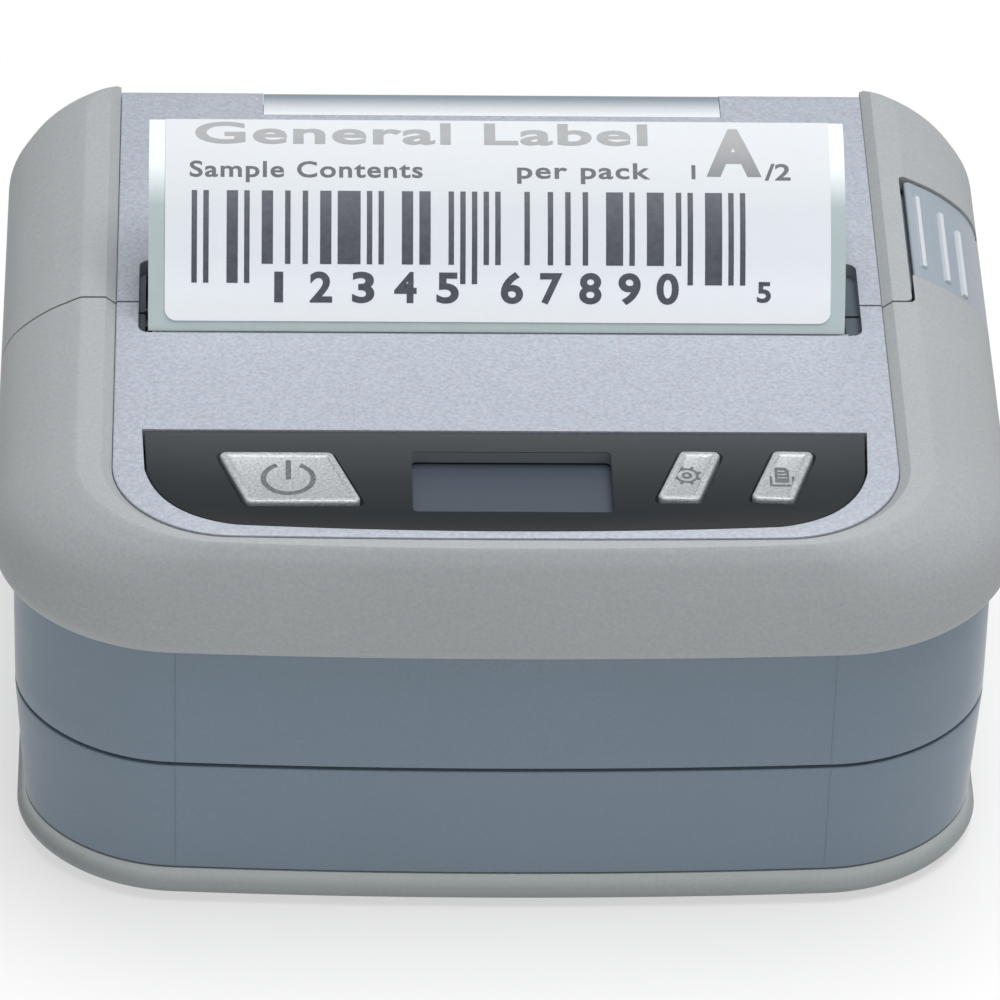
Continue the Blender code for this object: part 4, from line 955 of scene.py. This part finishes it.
def bar(x0, x1, s0, s1):
    return bm_prism([(x0, s0), (x1, s0), (x1, s1), (x0, s1)], INK0, INK1)


# bar symbol for the sequential digits 0 12345 67890 5
L_CODE = ("0001101", "0011001", "0010011", "0111101", "0100011", "0110001", "0101111", "0111011", "0110111", "0001011")
modules = [("101", True)]
for k, d in enumerate("012345"):
    modules.append((L_CODE[int(d)], k == 0))
modules.append(("01010", True))
for k, d in enumerate("678905"):
    modules.append(("".join("10"[int(c)] for c in L_CODE[int(d)]), k == 5))
modules.append(("101", True))
bits = [(c, tall) for chunk, tall in modules for c in chunk]
X0, X1 = px_x(193.0), px_x(744.5)
STEP = (X1 - X0) / len(bits)
bars, i = [], 0
while i < len(bits):
    if bits[i][0] == "1":
        j = i
        while j < len(bits) and bits[j][0] == "1":
            j += 1
        tall = bits[i][1]
        bars.append(bar(X0 + i * STEP + 0.02, X0 + j * STEP - 0.02, 5.09 if tall else 7.2, 15.38))
        i = j
    else:
        i += 1
settle(curl("label_bars", merged(bars), "ink"), "paper", "label_white")


def text_bm(body, x0, x1, s0, cap, bold=0.0, spacing=1.0):
    """Generic lettering as thin raised ink: cap is the height of a capital, x0 to x1 the width of the line."""
    made = []
    for words in ("H", body):
        cu = bpy.data.curves.new("t", "FONT")
        cu.body, cu.size, cu.offset, cu.resolution_u, cu.extrude, cu.space_character = words, 1.0, bold, 5, 0.5, spacing
        ob = bpy.data.objects.new("t", cu)
        bpy.context.scene.collection.objects.link(ob)
        bpy.context.view_layer.update()
        me = bpy.data.meshes.new_from_object(ob.evaluated_get(bpy.context.evaluated_depsgraph_get()))
        bpy.data.objects.remove(ob, do_unlink=True)
        bpy.data.curves.remove(cu)
        bm = bmesh.new()
        bm.from_mesh(me)
        bpy.data.meshes.remove(me)
        bmesh.ops.remove_doubles(bm, verts=bm.verts[:], dist=1e-5)
        made.append(bm)
    h = [v.co.y for v in made[0].verts]
    lo_h, hi_h = min(h), max(h)
    made[0].free()
    bm = made[1]
    xs = [v.co.x for v in bm.verts]
    lo_x, hi_x = min(xs), max(xs)
    for v in bm.verts:
        v.co.x = x0 + (v.co.x - lo_x) / (hi_x - lo_x) * (x1 - x0)
        v.co.y = s0 + (v.co.y - lo_h) / (hi_h - lo_h) * cap
        v.co.z = INK0 if v.co.z < 0 else INK1
    return bm


digits = []
for d, px in zip("1234567890", (280, 322, 364, 406, 448, 512, 551, 590, 629, 667)):
    w = 1.0 if d == "1" else 2.5
    c = px_x(px)
    digits.append(text_bm(d, c - w / 2, c + w / 2, 2.95, 3.4, 0.03))
digits.append(text_bm("5", px_x(756), px_x(770), 3.2, 2.3, 0.03))
settle(curl("label_digits", merged(digits), "ink"), "paper", "label_white")

settle(curl("label_subheading", merged([text_bm("Sample Contents", px_x(191), px_x(423), 16.95, 1.95, 0.02, 1.1), text_bm("per pack", px_x(517), px_x(650), 16.95, 1.95, 0.02, 1.1)]), "ink"), "paper", "label_white")
settle(curl("label_heading", text_bm("General Label", px_x(196), px_x(648), 21.15, 3.0, 0.026, 1.08), "ink_painted_highlight"), "paper", "label_white")
settle(curl("label_mark", merged([text_bm("A", px_x(706), px_x(761), 17.3, 6.2, 0.05)]), "ink_painted_highlight"), "paper", "label_white")
settle(curl("label_mark_small", merged([text_bm("1", px_x(691), px_x(695), 17.0, 1.7, 0.01), text_bm("/2", px_x(764), px_x(790), 16.9, 2.0, 0.02)]), "ink"), "paper", "label_white")

# ------------------------------------------------------------------ round inner pieces
stand(raw("platen_roller_piece", bm_revolve([(-38.9, 1.8), (-38.9, 4.5), (-38.8, 4.7), (-38.6, PLAT_R), (38.6, PLAT_R), (38.8, 4.7), (38.9, 4.5), (38.9, 1.8)], "x", PLAT_Y, PLAT_Z, 72, ring=True), "rubber_black"), "platen_roller")
stand(raw("platen_shaft_piece", bm_revolve([(-43.4, 1.3), (-43.2, 1.5), (43.2, 1.5), (43.4, 1.3)], "x", PLAT_Y, PLAT_Z, 40), "steel"), "platen_shaft")
stand(raw("label_roll_piece", bm_revolve([(-38.8, CORE_R), (-38.8, ROLL_R - 0.2), (-38.6, ROLL_R), (38.6, ROLL_R), (38.8, ROLL_R - 0.2), (38.8, CORE_R)], "x", ROLL_Y, ROLL_Z, 96, ring=True), "roll_paper"), "label_roll")
stand(raw("roll_core_piece", bm_revolve([(-38.8, CORE_R - 1.3), (-38.8, CORE_R - 0.2), (38.8, CORE_R - 0.2), (38.8, CORE_R - 1.3)], "x", ROLL_Y, ROLL_Z, 72, ring=True), "card_brown"), "roll_core")
motor = raw("feed_motor_piece", bm_revolve([(-38.6, 7.7), (-38.5, 7.9), (-38.3, 8.0), (-23.3, 8.0), (-23.1, 7.9), (-23.0, 7.7)], "x", PIN_Y, PIN_Z, 64), "steel")
join(motor, bm_prism(circle(PIN_Y, PIN_Z, 1.0, 32), -41.6, -38.0, "x"))
stand(motor, "feed_motor")
for i, (fx, fy) in enumerate(FEET):
    stand(raw(f"rubber_foot_{i + 1}_piece", bm_revolve([(0.0, 3.5), (0.06, 3.68), (0.18, 3.84), (0.35, 3.95), (0.5, 4.0), (1.0, 4.0)], "z", fx, fy, 64), "rubber_black"), f"rubber_foot_{i + 1}")
for i, (sx, sy) in enumerate(SCREWS):
    s = raw(f"case_screw_{i + 1}_piece", bm_revolve([(0.7, 2.1), (0.76, 2.24), (0.88, 2.3), (1.2, 2.3), (1.2001, 1.1), (2.45, 1.1)], "z", sx, sy, 48), "steel")
    cut(s, bm_box(sx - 1.4, sx + 1.4, sy - 0.25, sy + 0.25, 0.0, 0.95), bm_box(sx - 0.25, sx + 0.25, sy - 1.4, sy + 1.4, 0.0, 0.95))
    stand(s, f"case_screw_{i + 1}")


# ------------------------------------------------------------------ stage, light and camera
def stage_material():
    m = Mat("stage_floor", srgb(247, 247, 247), 0.9)
    m.colour(m.ramp(m.noise(0.004, 2.0), [(0.3, (0.34,) * 3), (0.7, (0.346,) * 3)]))
    return m.m


bm = bmesh.new()
vs = [bm.verts.new(p) for p in ((-3, -2, 0), (3, -2, 0), (3, 4, 0), (-3, 4, 0))]
bm.faces.new(vs)
me = bpy.data.meshes.new("floor")
bm.to_mesh(me)
bm.free()
floor = bpy.data.objects.new("floor", me)
floor.location = (0, 0, -0.0004)
bpy.context.scene.collection.objects.link(floor)
fm = stage_material()
b = fm.node_tree.nodes["Principled BSDF"]
b.inputs["Emission Color"].default_value = (1, 1, 1, 1)
b.inputs["Emission Strength"].default_value = 0.55
me.materials.append(fm)

world = bpy.data.worlds.new("studio")
bpy.context.scene.world = world
world.use_nodes = True
bg = world.node_tree.nodes["Background"]
bg.inputs["Color"].default_value = (1.0, 1.0, 1.0, 1.0)
bg.inputs["Strength"].default_value = 0.34


def area(name, at, look, size, power, colour=(1, 1, 1)):
    d = bpy.data.lights.new(name, "AREA")
    d.shape, d.size, d.size_y, d.energy, d.color = "RECTANGLE", size[0], size[1], power, colour
    o = bpy.data.objects.new(name, d)
    o.location = at
    o.rotation_euler = (Vector(look) - Vector(at)).to_track_quat("-Z", "Y").to_euler()
    bpy.context.scene.collection.objects.link(o)
    return o


area("overhead", (0.1, 0.05, 0.75), (0, 0, 0.03), (0.7, 0.5), 6.7)
area("front_fill", (0.1, -1.1, 0.35), (0, 0, 0.03), (1.2, 0.5), 2.2)

AZ, EL, ROLL = math.radians(-2.339), math.radians(36.661), math.radians(1.660)
TARGET, DIST = Vector((0.263, -8.275, 28.35)) * MM, 900.44 * MM
back = Vector((math.sin(AZ) * math.cos(EL), -math.cos(AZ) * math.cos(EL), math.sin(EL)))
right = (-back).cross(Vector((0, 0, 1))).normalized()
up = right.cross(-back)
right, up = math.cos(ROLL) * right + math.sin(ROLL) * up, -math.sin(ROLL) * right + math.cos(ROLL) * up
cd = bpy.data.cameras.new("camera")
cd.lens, cd.sensor_width, cd.clip_start, cd.clip_end = 288.0, 36.0, 0.05, 20.0
cam = bpy.data.objects.new("camera", cd)
mat = Matrix((right, up, back)).transposed().to_4x4()
mat.translation = TARGET + back * DIST
cam.matrix_world = mat
bpy.context.scene.collection.objects.link(cam)
bpy.context.scene.camera = cam
bpy.context.scene.view_settings.view_transform = "Standard"
